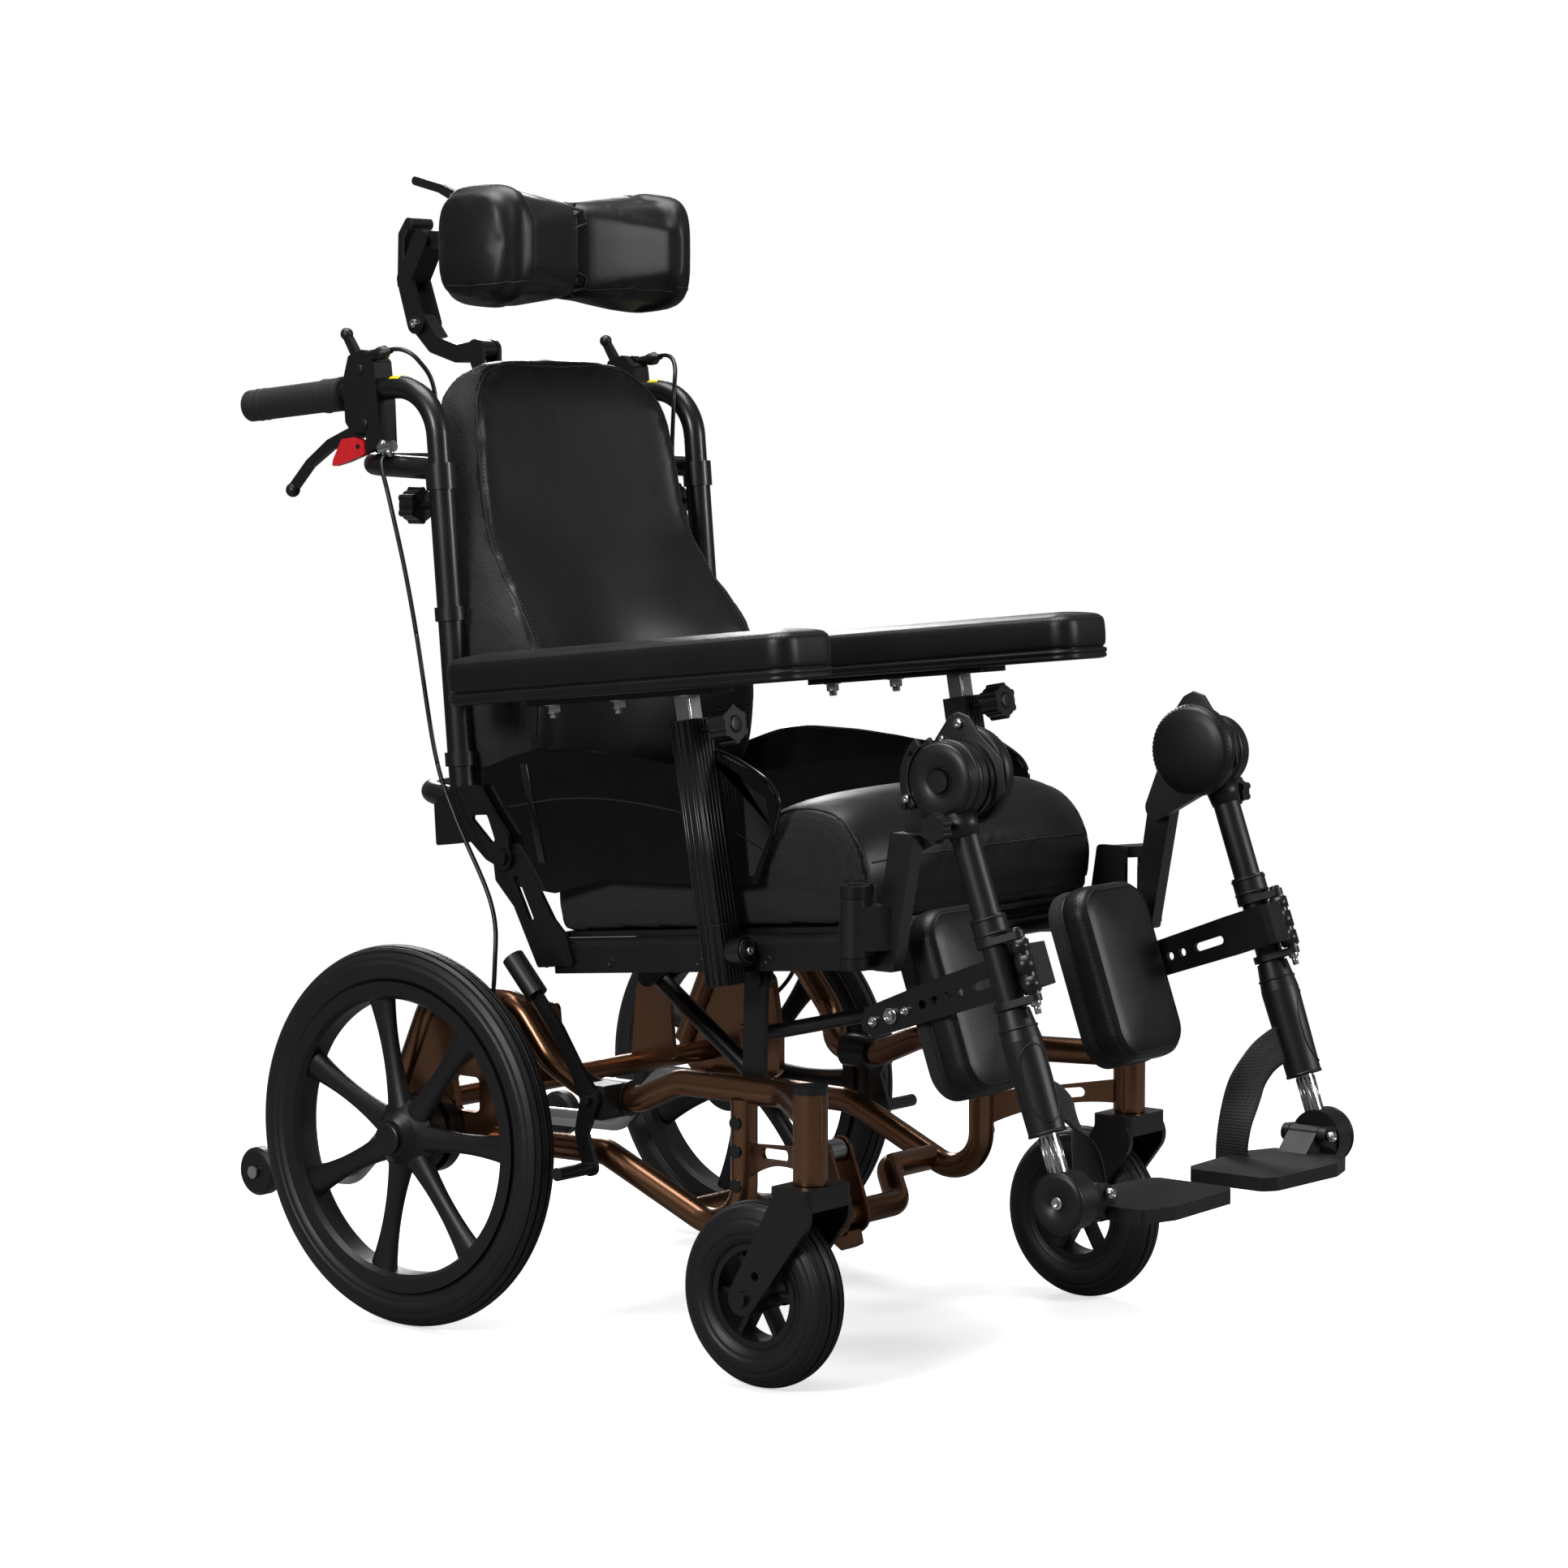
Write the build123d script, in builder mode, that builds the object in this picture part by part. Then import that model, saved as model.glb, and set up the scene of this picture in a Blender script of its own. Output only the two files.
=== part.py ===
"""Tilt in space wheelchair: a tube base, a tilting seat, a reclining back and swing-away leg rests.

Millimetres. X runs across the chair, Y from front to back, Z up from the floor.
"""

import math
import os

from build123d import *

os.makedirs("parts", exist_ok=True)

SIDES = ((-1, "right"), (1, "left"))

# Running and fixed clearances
RUNNING_FIT = 0.05
SOFT_GAP = 0.5

# Base frame
FRAME_TUBE = 28.0
FRONT_TUBE_X = 208.0
REAR_TUBE_X = 226.0
ARCH_X = 241.0
UPRIGHT_Y = -109.0
UPPER_RAIL_Z = 283.0
FRAME_BEND = 42.0
AXLE_PLATE_X = 238.0
AXLE_PLATE_THICKNESS = 10.0
CROSS_TUBE_Y = 300.0
CROSS_TUBE_Z = 235.0
CROSS_TUBE = 24.0
FRONT_BAR_Y = -77.0
FRONT_BAR_Z = 118.0

# Rear wheels
REAR_AXLE_Y = 287.0
REAR_TYRE_RADIUS = 205.0
REAR_AXLE_Z = REAR_TYRE_RADIUS
REAR_TYRE_X = 293.0
REAR_TYRE_WIDTH = 40.0
REAR_RIM_RADIUS = 167.0
REAR_RIM_WALL = 19.0
REAR_SPOKES = 7
REAR_AXLE = 12.0
DRUM_RADIUS = 44.0

# Castors
CASTOR_X = 283.0
CASTOR_STEM_Y = -254.0
CASTOR_TRAIL = 59.0
CASTOR_RADIUS = 95.0
CASTOR_WIDTH = 50.0
CASTOR_RIM_RADIUS = 53.0
CASTOR_BOLT = 8.0
STEM_TUBE = 35.0
STEM_BOTTOM = 213.0
STEM_TOP = 303.0
STEM_PIN = 12.0
FORK_GAP = 58.0
FORK_WALL = 7.0

# Anti-tip wheels and wheel locks
ANTI_TIP_TUBE = 22.0
ANTI_TIP_Y = 549.0
ANTI_TIP_Z = 132.0
ANTI_TIP_RADIUS = 27.0
ANTI_TIP_WIDTH = 20.0
LOCK_PIVOT_Y = 60.0
LOCK_PIVOT_Z = 262.0
LOCK_X = 256.0
LOCK_PIN = 10.0

# Tilt
TILT_Y = -112.0
TILT_Z = 396.0
TILT_PIN = 12.0
SUPPORT_WALL = 6.0
SUPPORT_X = FRONT_TUBE_X - FRAME_TUBE / 2 - SUPPORT_WALL


def save(piece, name):
    """Label a finished piece and write it as its own file."""
    piece.label = name
    export_step(piece, f"parts/{name}.step")


def add_tube(points, bend, radius, mode=Mode.ADD):
    """Round bar along straight runs joined by bends of one radius."""
    with BuildLine() as path:
        FilletPolyline(*points, radius=bend)
    with BuildSketch(Plane(origin=path.line @ 0, z_dir=path.line % 0)) as section:
        Circle(radius)
    sweep(sections=section.sketch, path=path.line, mode=mode)


def add_rod(start, end, radius, mode=Mode.ADD):
    """Straight round bar between two points."""
    run = Vector(*end) - Vector(*start)
    with BuildSketch(Plane(origin=start, z_dir=run)) as section:
        Circle(radius)
    extrude(section.sketch, amount=run.length, mode=mode)


def add_plate(outline, near, far, side=1, corner=0, mode=Mode.ADD, base=Plane.YZ):
    """Upright plate with an outline of (y, z) points, from one distance off the middle to another."""
    with BuildSketch(base.offset(side * near)) as sketch:
        Polygon(*outline)
        if corner:
            fillet(sketch.vertices(), corner)
    extrude(sketch.sketch, amount=side * (far - near), mode=mode)


def add_link(first, second, near, far, side=1, mode=Mode.ADD, base=Plane.YZ):
    """Upright plate drawn round two circles of (y, z, radius)."""
    with BuildSketch(base.offset(side * near)) as sketch:
        for y, z, radius in (first, second):
            with Locations((y, z)):
                Circle(radius)
        make_hull()
    extrude(sketch.sketch, amount=side * (far - near), mode=mode)


def add_pin(y, z, radius, near, far, side=1, mode=Mode.ADD):
    """Round pin across the chair, from one distance off the middle to another."""
    add_rod((side * near, y, z), (side * far, y, z), radius, mode)


def add_turned(center, outline, mode=Mode.ADD):
    """Ring or hub on an axle across the chair, from an outline of (offset, radius) points."""
    with BuildSketch(Plane(origin=center, x_dir=(1, 0, 0), z_dir=(0, -1, 0))) as profile:
        Polygon(*outline)
    revolve(profile.sketch, axis=Axis(center, (1, 0, 0)), mode=mode)


def add_tyre(center, outer, inner, width, crown, grooves, depth):
    """Solid tyre with an oval section, flat on its rim, and running grooves in the tread."""
    with BuildSketch(Plane(origin=center, x_dir=(1, 0, 0), z_dir=(0, -1, 0))) as profile:
        with Locations((0, outer - crown)):
            Ellipse(width / 2, crown)
        with Locations((0, inner)):
            Rectangle(2 * width, 4 * crown, align=(Align.CENTER, Align.MAX), mode=Mode.SUBTRACT)
        for offset in grooves:
            top = outer - crown + crown * math.sqrt(1 - (2 * offset / width) ** 2)
            with Locations((offset, top)):
                Rectangle(2, 2 * depth, mode=Mode.SUBTRACT)
    revolve(profile.sketch, axis=Axis(center, (1, 0, 0)))


# ---------------------------------------------------------------- base frame

upper_rail = [
    (ARCH_X, 342, 242),
    (ARCH_X, 292, 352),
    (ARCH_X, 172, 352),
    (ARCH_X, 126, 296),
    (FRONT_TUBE_X, 92, 259),
    (FRONT_TUBE_X, 30, 259),
    (FRONT_TUBE_X, -25, UPPER_RAIL_Z),
    (FRONT_TUBE_X, -165, UPPER_RAIL_Z),
    (CASTOR_X - 8, CASTOR_STEM_Y + 9, UPPER_RAIL_Z - 7),
]
lower_rail = [
    (REAR_TUBE_X, 305, 200),
    (FRONT_TUBE_X + 4, 75, 200),
    (FRONT_TUBE_X, UPRIGHT_Y, 120),
    (FRONT_TUBE_X, UPRIGHT_Y, UPPER_RAIL_Z - 9),
]
axle_plate = [(200, 262), (212, 330), (300, 340), (354, 252), (346, 222), (310, 186), (255, 186), (200, 215)]

side_frames = {}
for side, hand in SIDES:
    stem_foot = (side * CASTOR_X, CASTOR_STEM_Y, STEM_BOTTOM)
    stem_head = (side * CASTOR_X, CASTOR_STEM_Y, STEM_TOP)
    reach = Vector(side * (CASTOR_X - FRONT_TUBE_X), CASTOR_STEM_Y - UPRIGHT_Y, 0)
    with BuildPart() as side_frame:
        add_tube([(side * x, y, z) for x, y, z in upper_rail], FRAME_BEND, FRAME_TUBE / 2)
        add_tube([(side * x, y, z) for x, y, z in lower_rail], FRAME_BEND, FRAME_TUBE / 2)
        add_rod(stem_foot, stem_head, STEM_TUBE / 2)
        gusset_plane = Plane(
            origin=(side * FRONT_TUBE_X, UPRIGHT_Y, 0),
            x_dir=reach.normalized(),
            z_dir=reach.normalized().cross(Vector(0, 0, 1)),
        )
        with BuildSketch(gusset_plane) as gusset:
            with BuildLine():
                Line((0, 228), (reach.length, 249))
                Line((reach.length, 249), (reach.length, 220))
                ThreePointArc((reach.length, 220), (reach.length / 2, 217), (0, 188))
                Line((0, 188), (0, 228))
            make_face()
            with Locations((reach.length * 0.5, 229)):
                SlotOverall(66, 11, rotation=6, mode=Mode.SUBTRACT)
        extrude(gusset.sketch, amount=2.5, both=True)
        add_rod(stem_foot, stem_head, STEM_PIN / 2 + RUNNING_FIT, mode=Mode.SUBTRACT)
        add_plate(axle_plate, AXLE_PLATE_X, AXLE_PLATE_X + AXLE_PLATE_THICKNESS, side, corner=12)
        window = [(222, 230), (222, 268), (262, 268), (255, 230)]
        add_plate(window, AXLE_PLATE_X - 1, 2 * AXLE_PLATE_X, side, corner=6, mode=Mode.SUBTRACT)
        add_pin(REAR_AXLE_Y, REAR_AXLE_Z, 20, AXLE_PLATE_X, AXLE_PLATE_X + AXLE_PLATE_THICKNESS + 2, side)
        add_pin(REAR_AXLE_Y, REAR_AXLE_Z, REAR_AXLE / 2, AXLE_PLATE_X, REAR_TYRE_X + 24, side)
    side_frames[side] = side_frame.part
    save(side_frame.part, f"side_frame_{hand}")

front_bar = [
    (-FRONT_TUBE_X, -42, 149),
    (-125, -42, 149),
    (-98, FRONT_BAR_Y, FRONT_BAR_Z),
    (98, FRONT_BAR_Y, FRONT_BAR_Z),
    (125, -42, 149),
    (FRONT_TUBE_X, -42, 149),
]
STRUT_PIN = 10.0
STRUT_FOOT_Y = -60.0
STRUT_FOOT_Z = 185.0

with BuildPart() as cross_frame:
    add_rod(
        (-AXLE_PLATE_X, CROSS_TUBE_Y, CROSS_TUBE_Z), (AXLE_PLATE_X, CROSS_TUBE_Y, CROSS_TUBE_Z), CROSS_TUBE / 2,
    )
    add_tube(front_bar, 22, FRAME_TUBE / 2)
    for side, hand in SIDES:
        add_plate([(236, 246), (244, 330), (292, 330), (300, 236)], 92, 98, side, corner=8)
        foot = (FRONT_BAR_Y, FRONT_BAR_Z, 22)
        add_link(foot, (STRUT_FOOT_Y, STRUT_FOOT_Z, 15), 15, 20, side)
        add_pin(STRUT_FOOT_Y, STRUT_FOOT_Z, STRUT_PIN / 2, 0, 20, side)
    add_plate([(-92, 104), (-96, 88), (-84, 82), (-74, 88), (-70, 104)], -12, 12, corner=3)
    add(side_frames[-1], mode=Mode.SUBTRACT)
    add(side_frames[1], mode=Mode.SUBTRACT)
save(cross_frame.part, "cross_frame")

with BuildPart() as frame_fittings:
    for side, hand in SIDES:
        cap = (side * CASTOR_X, CASTOR_STEM_Y, STEM_TOP)
        cap_top = (side * CASTOR_X, CASTOR_STEM_Y, STEM_TOP + 8)
        add_rod(cap, cap_top, STEM_TUBE / 2)
        for plug_z in (185, 221, 250):
            add_pin(UPRIGHT_Y, plug_z, 7, FRONT_TUBE_X + 8, FRONT_TUBE_X + FRAME_TUBE / 2 + 2, side)
        add_rod((side * FRONT_TUBE_X, 42, 259), (side * FRONT_TUBE_X, 78, 259), FRAME_TUBE / 2 + 5)
        add_plate([(44, 240), (44, 276), (76, 276), (76, 240)], FRONT_TUBE_X, LOCK_X - 7, side, corner=4)
        add_pin(LOCK_PIVOT_Y, LOCK_PIVOT_Z, LOCK_PIN / 2, LOCK_X - 10, LOCK_X + 7, side)
        drum = AXLE_PLATE_X + AXLE_PLATE_THICKNESS + 2
        add_pin(REAR_AXLE_Y, REAR_AXLE_Z, DRUM_RADIUS, drum, drum + 16, side)
        foot = (UPRIGHT_Y, UPPER_RAIL_Z - 6, 14)
        add_link(foot, (TILT_Y, TILT_Z, 14), SUPPORT_X, SUPPORT_X + SUPPORT_WALL, side)
        add_pin(TILT_Y, TILT_Z, TILT_PIN / 2, SUPPORT_X - 10, SUPPORT_X + SUPPORT_WALL + 2, side)
        add_pin(TILT_Y, TILT_Z, 10, SUPPORT_X + SUPPORT_WALL, SUPPORT_X + SUPPORT_WALL + 3, side)
    add_rod((-SUPPORT_X, TILT_Y, 338), (SUPPORT_X, TILT_Y, 338), 8)
    for side, hand in SIDES:
        add(side_frames[side], mode=Mode.SUBTRACT)
save(frame_fittings.part, "frame_fittings")

with BuildPart() as anti_tip_tubes:
    for side, hand in SIDES:
        x = side * REAR_TUBE_X
        route = [(x, 305, 200), (x, 366, 200), (x, 432, 136), (x, ANTI_TIP_Y + 14, ANTI_TIP_Z)]
        add_tube(route, 30, ANTI_TIP_TUBE / 2)
        add_pin(ANTI_TIP_Y, ANTI_TIP_Z, 4, REAR_TUBE_X, REAR_TUBE_X + 38, side)
        add_pin(ANTI_TIP_Y, ANTI_TIP_Z, 7, REAR_TUBE_X + 38, REAR_TUBE_X + 41, side)
    add(side_frames[-1], mode=Mode.SUBTRACT)
    add(side_frames[1], mode=Mode.SUBTRACT)
save(anti_tip_tubes.part, "anti_tip_tubes")

# ---------------------------------------------------------------- wheels

for side, hand in SIDES:
    hub = (side * REAR_TYRE_X, REAR_AXLE_Y, REAR_AXLE_Z)
    rim_bed = REAR_RIM_RADIUS - REAR_RIM_WALL
    half = REAR_TYRE_WIDTH / 2 - 2
    with BuildPart() as rear_wheel:
        rim = [(-half, rim_bed + 4), (-half, REAR_RIM_RADIUS), (half, REAR_RIM_RADIUS), (half, rim_bed + 4)]
        add_turned(hub, rim + [(half - 6, rim_bed), (6 - half, rim_bed)])
        boss = [(-22, 0), (-22, 40), (2, 40), (14, 28), (22, 22), (25, 20), (25, 0)]
        add_turned(hub, [(side * offset, radius) for offset, radius in boss])
        add_turned(hub, [(side * 25, 0), (side * 25, 16.5), (side * 30, 16.5), (side * 31, 15), (side * 31, 0)])
        for spoke in range(REAR_SPOKES):
            angle = math.radians(360 / REAR_SPOKES * spoke)
            along = Vector(0, -math.cos(angle), math.sin(angle))
            spoke_profile = ((24, 13, 17), (90, 8, 11), (rim_bed + 6, 11, 18))
            for distance, half_depth, half_width in spoke_profile:
                root = Vector(*hub) + along * distance
                with BuildSketch(Plane(origin=root, x_dir=(1, 0, 0), z_dir=along)):
                    Ellipse(half_depth, half_width)
            loft()
        bore = REAR_AXLE / 2 + RUNNING_FIT
        add_pin(REAR_AXLE_Y, REAR_AXLE_Z, bore, REAR_TYRE_X - 30, REAR_TYRE_X + 25, side, Mode.SUBTRACT)
    save(rear_wheel.part, f"rear_wheel_{hand}")

    with BuildPart() as rear_tyre:
        crown = (REAR_TYRE_RADIUS - REAR_RIM_RADIUS) / 2 + 3
        add_tyre(hub, REAR_TYRE_RADIUS, REAR_RIM_RADIUS, REAR_TYRE_WIDTH, crown, (-14, -8, 0, 8, 14), 1.5)
    save(rear_tyre.part, f"rear_tyre_{hand}")

    wheel_y = CASTOR_STEM_Y + CASTOR_TRAIL
    castor_center = (side * CASTOR_X, wheel_y, CASTOR_RADIUS)
    with BuildPart() as castor_fork:
        for leg in (-1, 1):
            inner = side * CASTOR_X + leg * FORK_GAP / 2
            outer = side * CASTOR_X + leg * (FORK_GAP / 2 + FORK_WALL)
            add_link((CASTOR_STEM_Y, 186, 25), (wheel_y, CASTOR_RADIUS, 17), inner, outer)
            add_rod((outer, wheel_y, CASTOR_RADIUS), (outer + leg * 5, wheel_y, CASTOR_RADIUS), 7.5)
            hole_y = wheel_y - 17
            hole_z = CASTOR_RADIUS + 25
            add_rod((inner, hole_y, hole_z), (outer, hole_y, hole_z), 4.5, mode=Mode.SUBTRACT)
        arm = FORK_GAP / 2 + FORK_WALL
        with BuildSketch(Plane.XY.offset(190)) as crown_block:
            with Locations((side * CASTOR_X, CASTOR_STEM_Y)):
                RectangleRounded(2 * arm, 50, 8)
        extrude(crown_block.sketch, amount=22)
        stem = (side * CASTOR_X, CASTOR_STEM_Y)
        add_rod((*stem, 200), (*stem, STEM_TOP - 3), STEM_PIN / 2)
        bolt_start = (castor_center[0] - arm, wheel_y, CASTOR_RADIUS)
        bolt_end = (castor_center[0] + arm, wheel_y, CASTOR_RADIUS)
        add_rod(bolt_start, bolt_end, CASTOR_BOLT / 2)
    save(castor_fork.part, f"castor_fork_{hand}")

    with BuildPart() as castor_wheel:
        crown = (CASTOR_RADIUS - CASTOR_RIM_RADIUS) / 2 + 4
        add_tyre(castor_center, CASTOR_RADIUS, CASTOR_RIM_RADIUS, CASTOR_WIDTH, crown, (-9, 0, 9), 1.2)
        ring = [(-17, CASTOR_RIM_RADIUS - 7), (-17, CASTOR_RIM_RADIUS), (17, CASTOR_RIM_RADIUS)]
        add_turned(castor_center, ring + [(17, CASTOR_RIM_RADIUS - 7)])
        add_turned(castor_center, [(-26, 0), (-26, 12), (-14, 17), (14, 17), (26, 12), (26, 0)])
        for spoke in range(6):
            angle = math.radians(60 * spoke)
            along = Vector(0, math.cos(angle), math.sin(angle))
            root = Vector(*castor_center) + along * 12
            with BuildSketch(Plane(origin=root, x_dir=(1, 0, 0), z_dir=along)) as web:
                Rectangle(20, 6)
            extrude(web.sketch, amount=CASTOR_RIM_RADIUS - 16)
        bore_start = (castor_center[0] - 30, wheel_y, CASTOR_RADIUS)
        bore_end = (castor_center[0] + 30, wheel_y, CASTOR_RADIUS)
        add_rod(bore_start, bore_end, CASTOR_BOLT / 2 + RUNNING_FIT, mode=Mode.SUBTRACT)
    save(castor_wheel.part, f"castor_wheel_{hand}")

    with BuildPart() as anti_tip_wheel:
        tip = (side * (REAR_TUBE_X + 26), ANTI_TIP_Y, ANTI_TIP_Z)
        half = ANTI_TIP_WIDTH / 2
        tread = [(-half, 0), (-half, ANTI_TIP_RADIUS - 4), (-half + 4, ANTI_TIP_RADIUS)]
        tread += [(half - 4, ANTI_TIP_RADIUS), (half, ANTI_TIP_RADIUS - 4), (half, 0)]
        add_turned(tip, tread)
        add_pin(ANTI_TIP_Y, ANTI_TIP_Z, 4 + RUNNING_FIT, REAR_TUBE_X, REAR_TUBE_X + 60, side, Mode.SUBTRACT)
    save(anti_tip_wheel.part, f"anti_tip_wheel_{hand}")

    with BuildPart() as wheel_lock_lever:
        near = LOCK_X - 6
        pivot = (LOCK_PIVOT_Y, LOCK_PIVOT_Z, 12)
        add_link(pivot, (78, 290, 8), near, near + 6, side)
        add_link((78, 290, 8), (104, 330, 7), near, near + 6, side)
        add_link((104, 330, 7), (140, 372, 6), near, near + 6, side)
        add_rod((side * (near + 3), 134, 365), (side * (near + 3), 168, 402), 12)
        add_link(pivot, (72, 226, 8), near, near + 6, side)
        add_link((72, 226, 8), (60, 190, 9), near, near + 6, side)
        add_pin(60, 190, 7, near, REAR_TYRE_X + 14, side)
        add_pin(LOCK_PIVOT_Y, LOCK_PIVOT_Z, LOCK_PIN / 2 + RUNNING_FIT, near - 1, near + 8, side, Mode.SUBTRACT)
    save(wheel_lock_lever.part, f"wheel_lock_lever_{hand}")

# ---------------------------------------------------------------- tilting seat

SEAT_PITCH = 5.1
SEAT_WIDTH = 410.0
RAIL_X = 200.0
RAIL_WIDTH = 20.0
RAIL_FRONT = -189.0
RAIL_REAR = 250.0
RAIL_BOTTOM = 10.0
RAIL_TOP = 47.0
PAN_FRONT = -150.0
CROSS_MEMBER = 22.0
STRUT_TOP_U = 299.0
STRUT_TOP_W = -13.0
RECLINE_Y = 204.0
RECLINE_Z = 504.0
RECLINE_PIN = 10.0
HINGE_PLATE = 5.0
HINGE_X = RAIL_X + RAIL_WIDTH
SWING_X = 262.0
SWING_Y = -292.0
SWING_PIN = 12.0
ARM_SOCKET_X = 235.0
ARM_POST = 20.0
ARM_FOOT_Y = -108.0
ARM_FOOT_Z = 393.0
ARM_LEAN = 10.1
SOCKET_LENGTH = 273.0

pitch = math.radians(SEAT_PITCH)
rearward = (0, math.cos(pitch), -math.sin(pitch))
seat_side = Plane(origin=(0, TILT_Y, TILT_Z), x_dir=rearward, z_dir=(1, 0, 0))


def seat_point(x, u, w):
    """Point at a distance rearward and upward from the tilt axis, in the pitched seat."""
    y = TILT_Y + u * math.cos(pitch) + w * math.sin(pitch)
    z = TILT_Z - u * math.sin(pitch) + w * math.cos(pitch)
    return (x, y, z)


lower_hinge = [(193, 520), (168, 490), (136, 442), (118, 425), (108, 395), (158, 389), (192, 452), (218, 478)]
lower_hinge += [(222, 506)]
hinge_slot = [(193, 484), (186, 484), (163, 440), (169, 438)]
swivel_plate = [(-288, 424), (-288, 511), (-252, 511), (-238, 420)]

with BuildPart() as seat_frame:
    for side, hand in SIDES:
        rail = [(RAIL_FRONT, RAIL_BOTTOM), (RAIL_FRONT, RAIL_TOP - 10)]
        rail += [(RAIL_REAR, RAIL_TOP - 10), (RAIL_REAR, RAIL_BOTTOM)]
        add_plate(rail, RAIL_X, RAIL_X + RAIL_WIDTH, side, base=seat_side)
        rail_x = side * (RAIL_X + RAIL_WIDTH / 2)
        add_rod(seat_point(rail_x, RAIL_FRONT, RAIL_TOP - 10), seat_point(rail_x, RAIL_REAR, RAIL_TOP - 10), 10)
        lug_x = SUPPORT_X - 8
        add_link((0, 0, 14), (0, 30, 12), lug_x, lug_x + 6, side, base=seat_side)
        add_pin(TILT_Y, TILT_Z, TILT_PIN / 2 + RUNNING_FIT, lug_x - 1, lug_x + 7, side, Mode.SUBTRACT)
        add_link((225, 28, 12), (STRUT_TOP_U, STRUT_TOP_W, 12), 12, 17, side, base=seat_side)
        add_plate(lower_hinge, HINGE_X, HINGE_X + HINGE_PLATE, side, corner=4)
        add_plate(hinge_slot, HINGE_X - 1, HINGE_X + HINGE_PLATE + 1, side, corner=2, mode=Mode.SUBTRACT)
        pin_end = HINGE_X + 2 * HINGE_PLATE + 2
        add_pin(RECLINE_Y, RECLINE_Z, RECLINE_PIN / 2, HINGE_X, pin_end, side)
        add_pin(RECLINE_Y, RECLINE_Z, 9, pin_end, pin_end + 3, side)
        add_plate(swivel_plate, HINGE_X, HINGE_X + 6, side, corner=5)
        for arm_z in (427, 498):
            with BuildSketch(Plane.XY.offset(arm_z)) as arm:
                with Locations((side * (HINGE_X + 3), -272)):
                    Rectangle(6, 22)
                with Locations((side * SWING_X, SWING_Y)):
                    Circle(14)
                make_hull()
            extrude(arm.sketch, amount=12)
        add_rod((side * SWING_X, SWING_Y, 427), (side * SWING_X, SWING_Y, 512), SWING_PIN / 2)
    for u, w in ((-140, 28), (0, 30), (225, 28)):
        add_rod(seat_point(-RAIL_X, u, w), seat_point(RAIL_X, u, w), CROSS_MEMBER / 2)
    add_rod(seat_point(-17, STRUT_TOP_U, STRUT_TOP_W), seat_point(17, STRUT_TOP_U, STRUT_TOP_W), STRUT_PIN / 2)
    pan = [(PAN_FRONT, RAIL_TOP), (PAN_FRONT, RAIL_TOP + 6), (RAIL_REAR, RAIL_TOP + 6)]
    add_plate(pan + [(RAIL_REAR, RAIL_TOP)], -RAIL_X - 8, RAIL_X + 8, base=seat_side)
save(seat_frame.part, "seat_frame")

CUSHION_BOTTOM = RAIL_TOP + 6 + SOFT_GAP
cushion_stations = ((-1.0, 0.86), (-0.93, 0.95), (-0.5, 1.0), (0.5, 1.0), (0.93, 0.95), (1.0, 0.86))
with BuildPart() as seat_cushion:
    for across, fill in cushion_stations:
        x = across * SEAT_WIDTH / 2
        low = CUSHION_BOTTOM
        high = CUSHION_BOTTOM + (132 - CUSHION_BOTTOM) * fill
        front_top = CUSHION_BOTTOM + (181 - CUSHION_BOTTOM) * fill
        inset = (1 - fill) * 60
        with BuildSketch(seat_side.offset(x)):
            with BuildLine():
                Line((-148 + inset, low), (262 - inset, low))
                ThreePointArc((262 - inset, low), (268 - inset, (low + high) / 2), (258 - inset, high))
                ThreePointArc((258 - inset, high), (90, high - 4), (-52, front_top))
                ThreePointArc((-52, front_top), (-128 + inset, front_top - 12), (-158 + inset, front_top - 52))
                ThreePointArc((-158 + inset, front_top - 52), (-162 + inset, low + 40), (-148 + inset, low))
            make_face()
    loft()
save(seat_cushion.part, "seat_cushion")

guard = [(-157, 550), (-162, 584), (-141, 607), (-79, 630), (-35, 612), (25, 616), (86, 620), (166, 618)]
guard += [(240, 596), (236, 549), (195, 473), (138, 469), (70, 488), (-35, 491), (-102, 493), (-136, 498)]
GUARD_WALL = 4.0
with BuildPart() as side_guards:
    for side, hand in SIDES:
        add_plate(guard, HINGE_X - GUARD_WALL, HINGE_X, side, corner=5)
save(side_guards.part, "side_guards")

lean = math.radians(ARM_LEAN)
arm_axis = Vector(0, math.sin(lean), math.cos(lean))
SOCKET_DEPTH = 30.0


def arm_point(side, along, forward=0.0):
    """Point on an armrest post's axis, or in front of it."""
    foot = Vector(side * ARM_SOCKET_X, ARM_FOOT_Y, ARM_FOOT_Z)
    return foot + arm_axis * along - Vector(0, math.cos(lean), -math.sin(lean)) * forward


def add_star_knob(start, direction, radius, depth):
    """Six-lobed hand knob that faces along a direction."""
    with BuildSketch(Plane(origin=start, z_dir=direction)) as knob:
        Circle(radius - 3)
        with PolarLocations(radius - 4, 6):
            Circle(4)
    extrude(knob.sketch, amount=depth)


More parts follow.
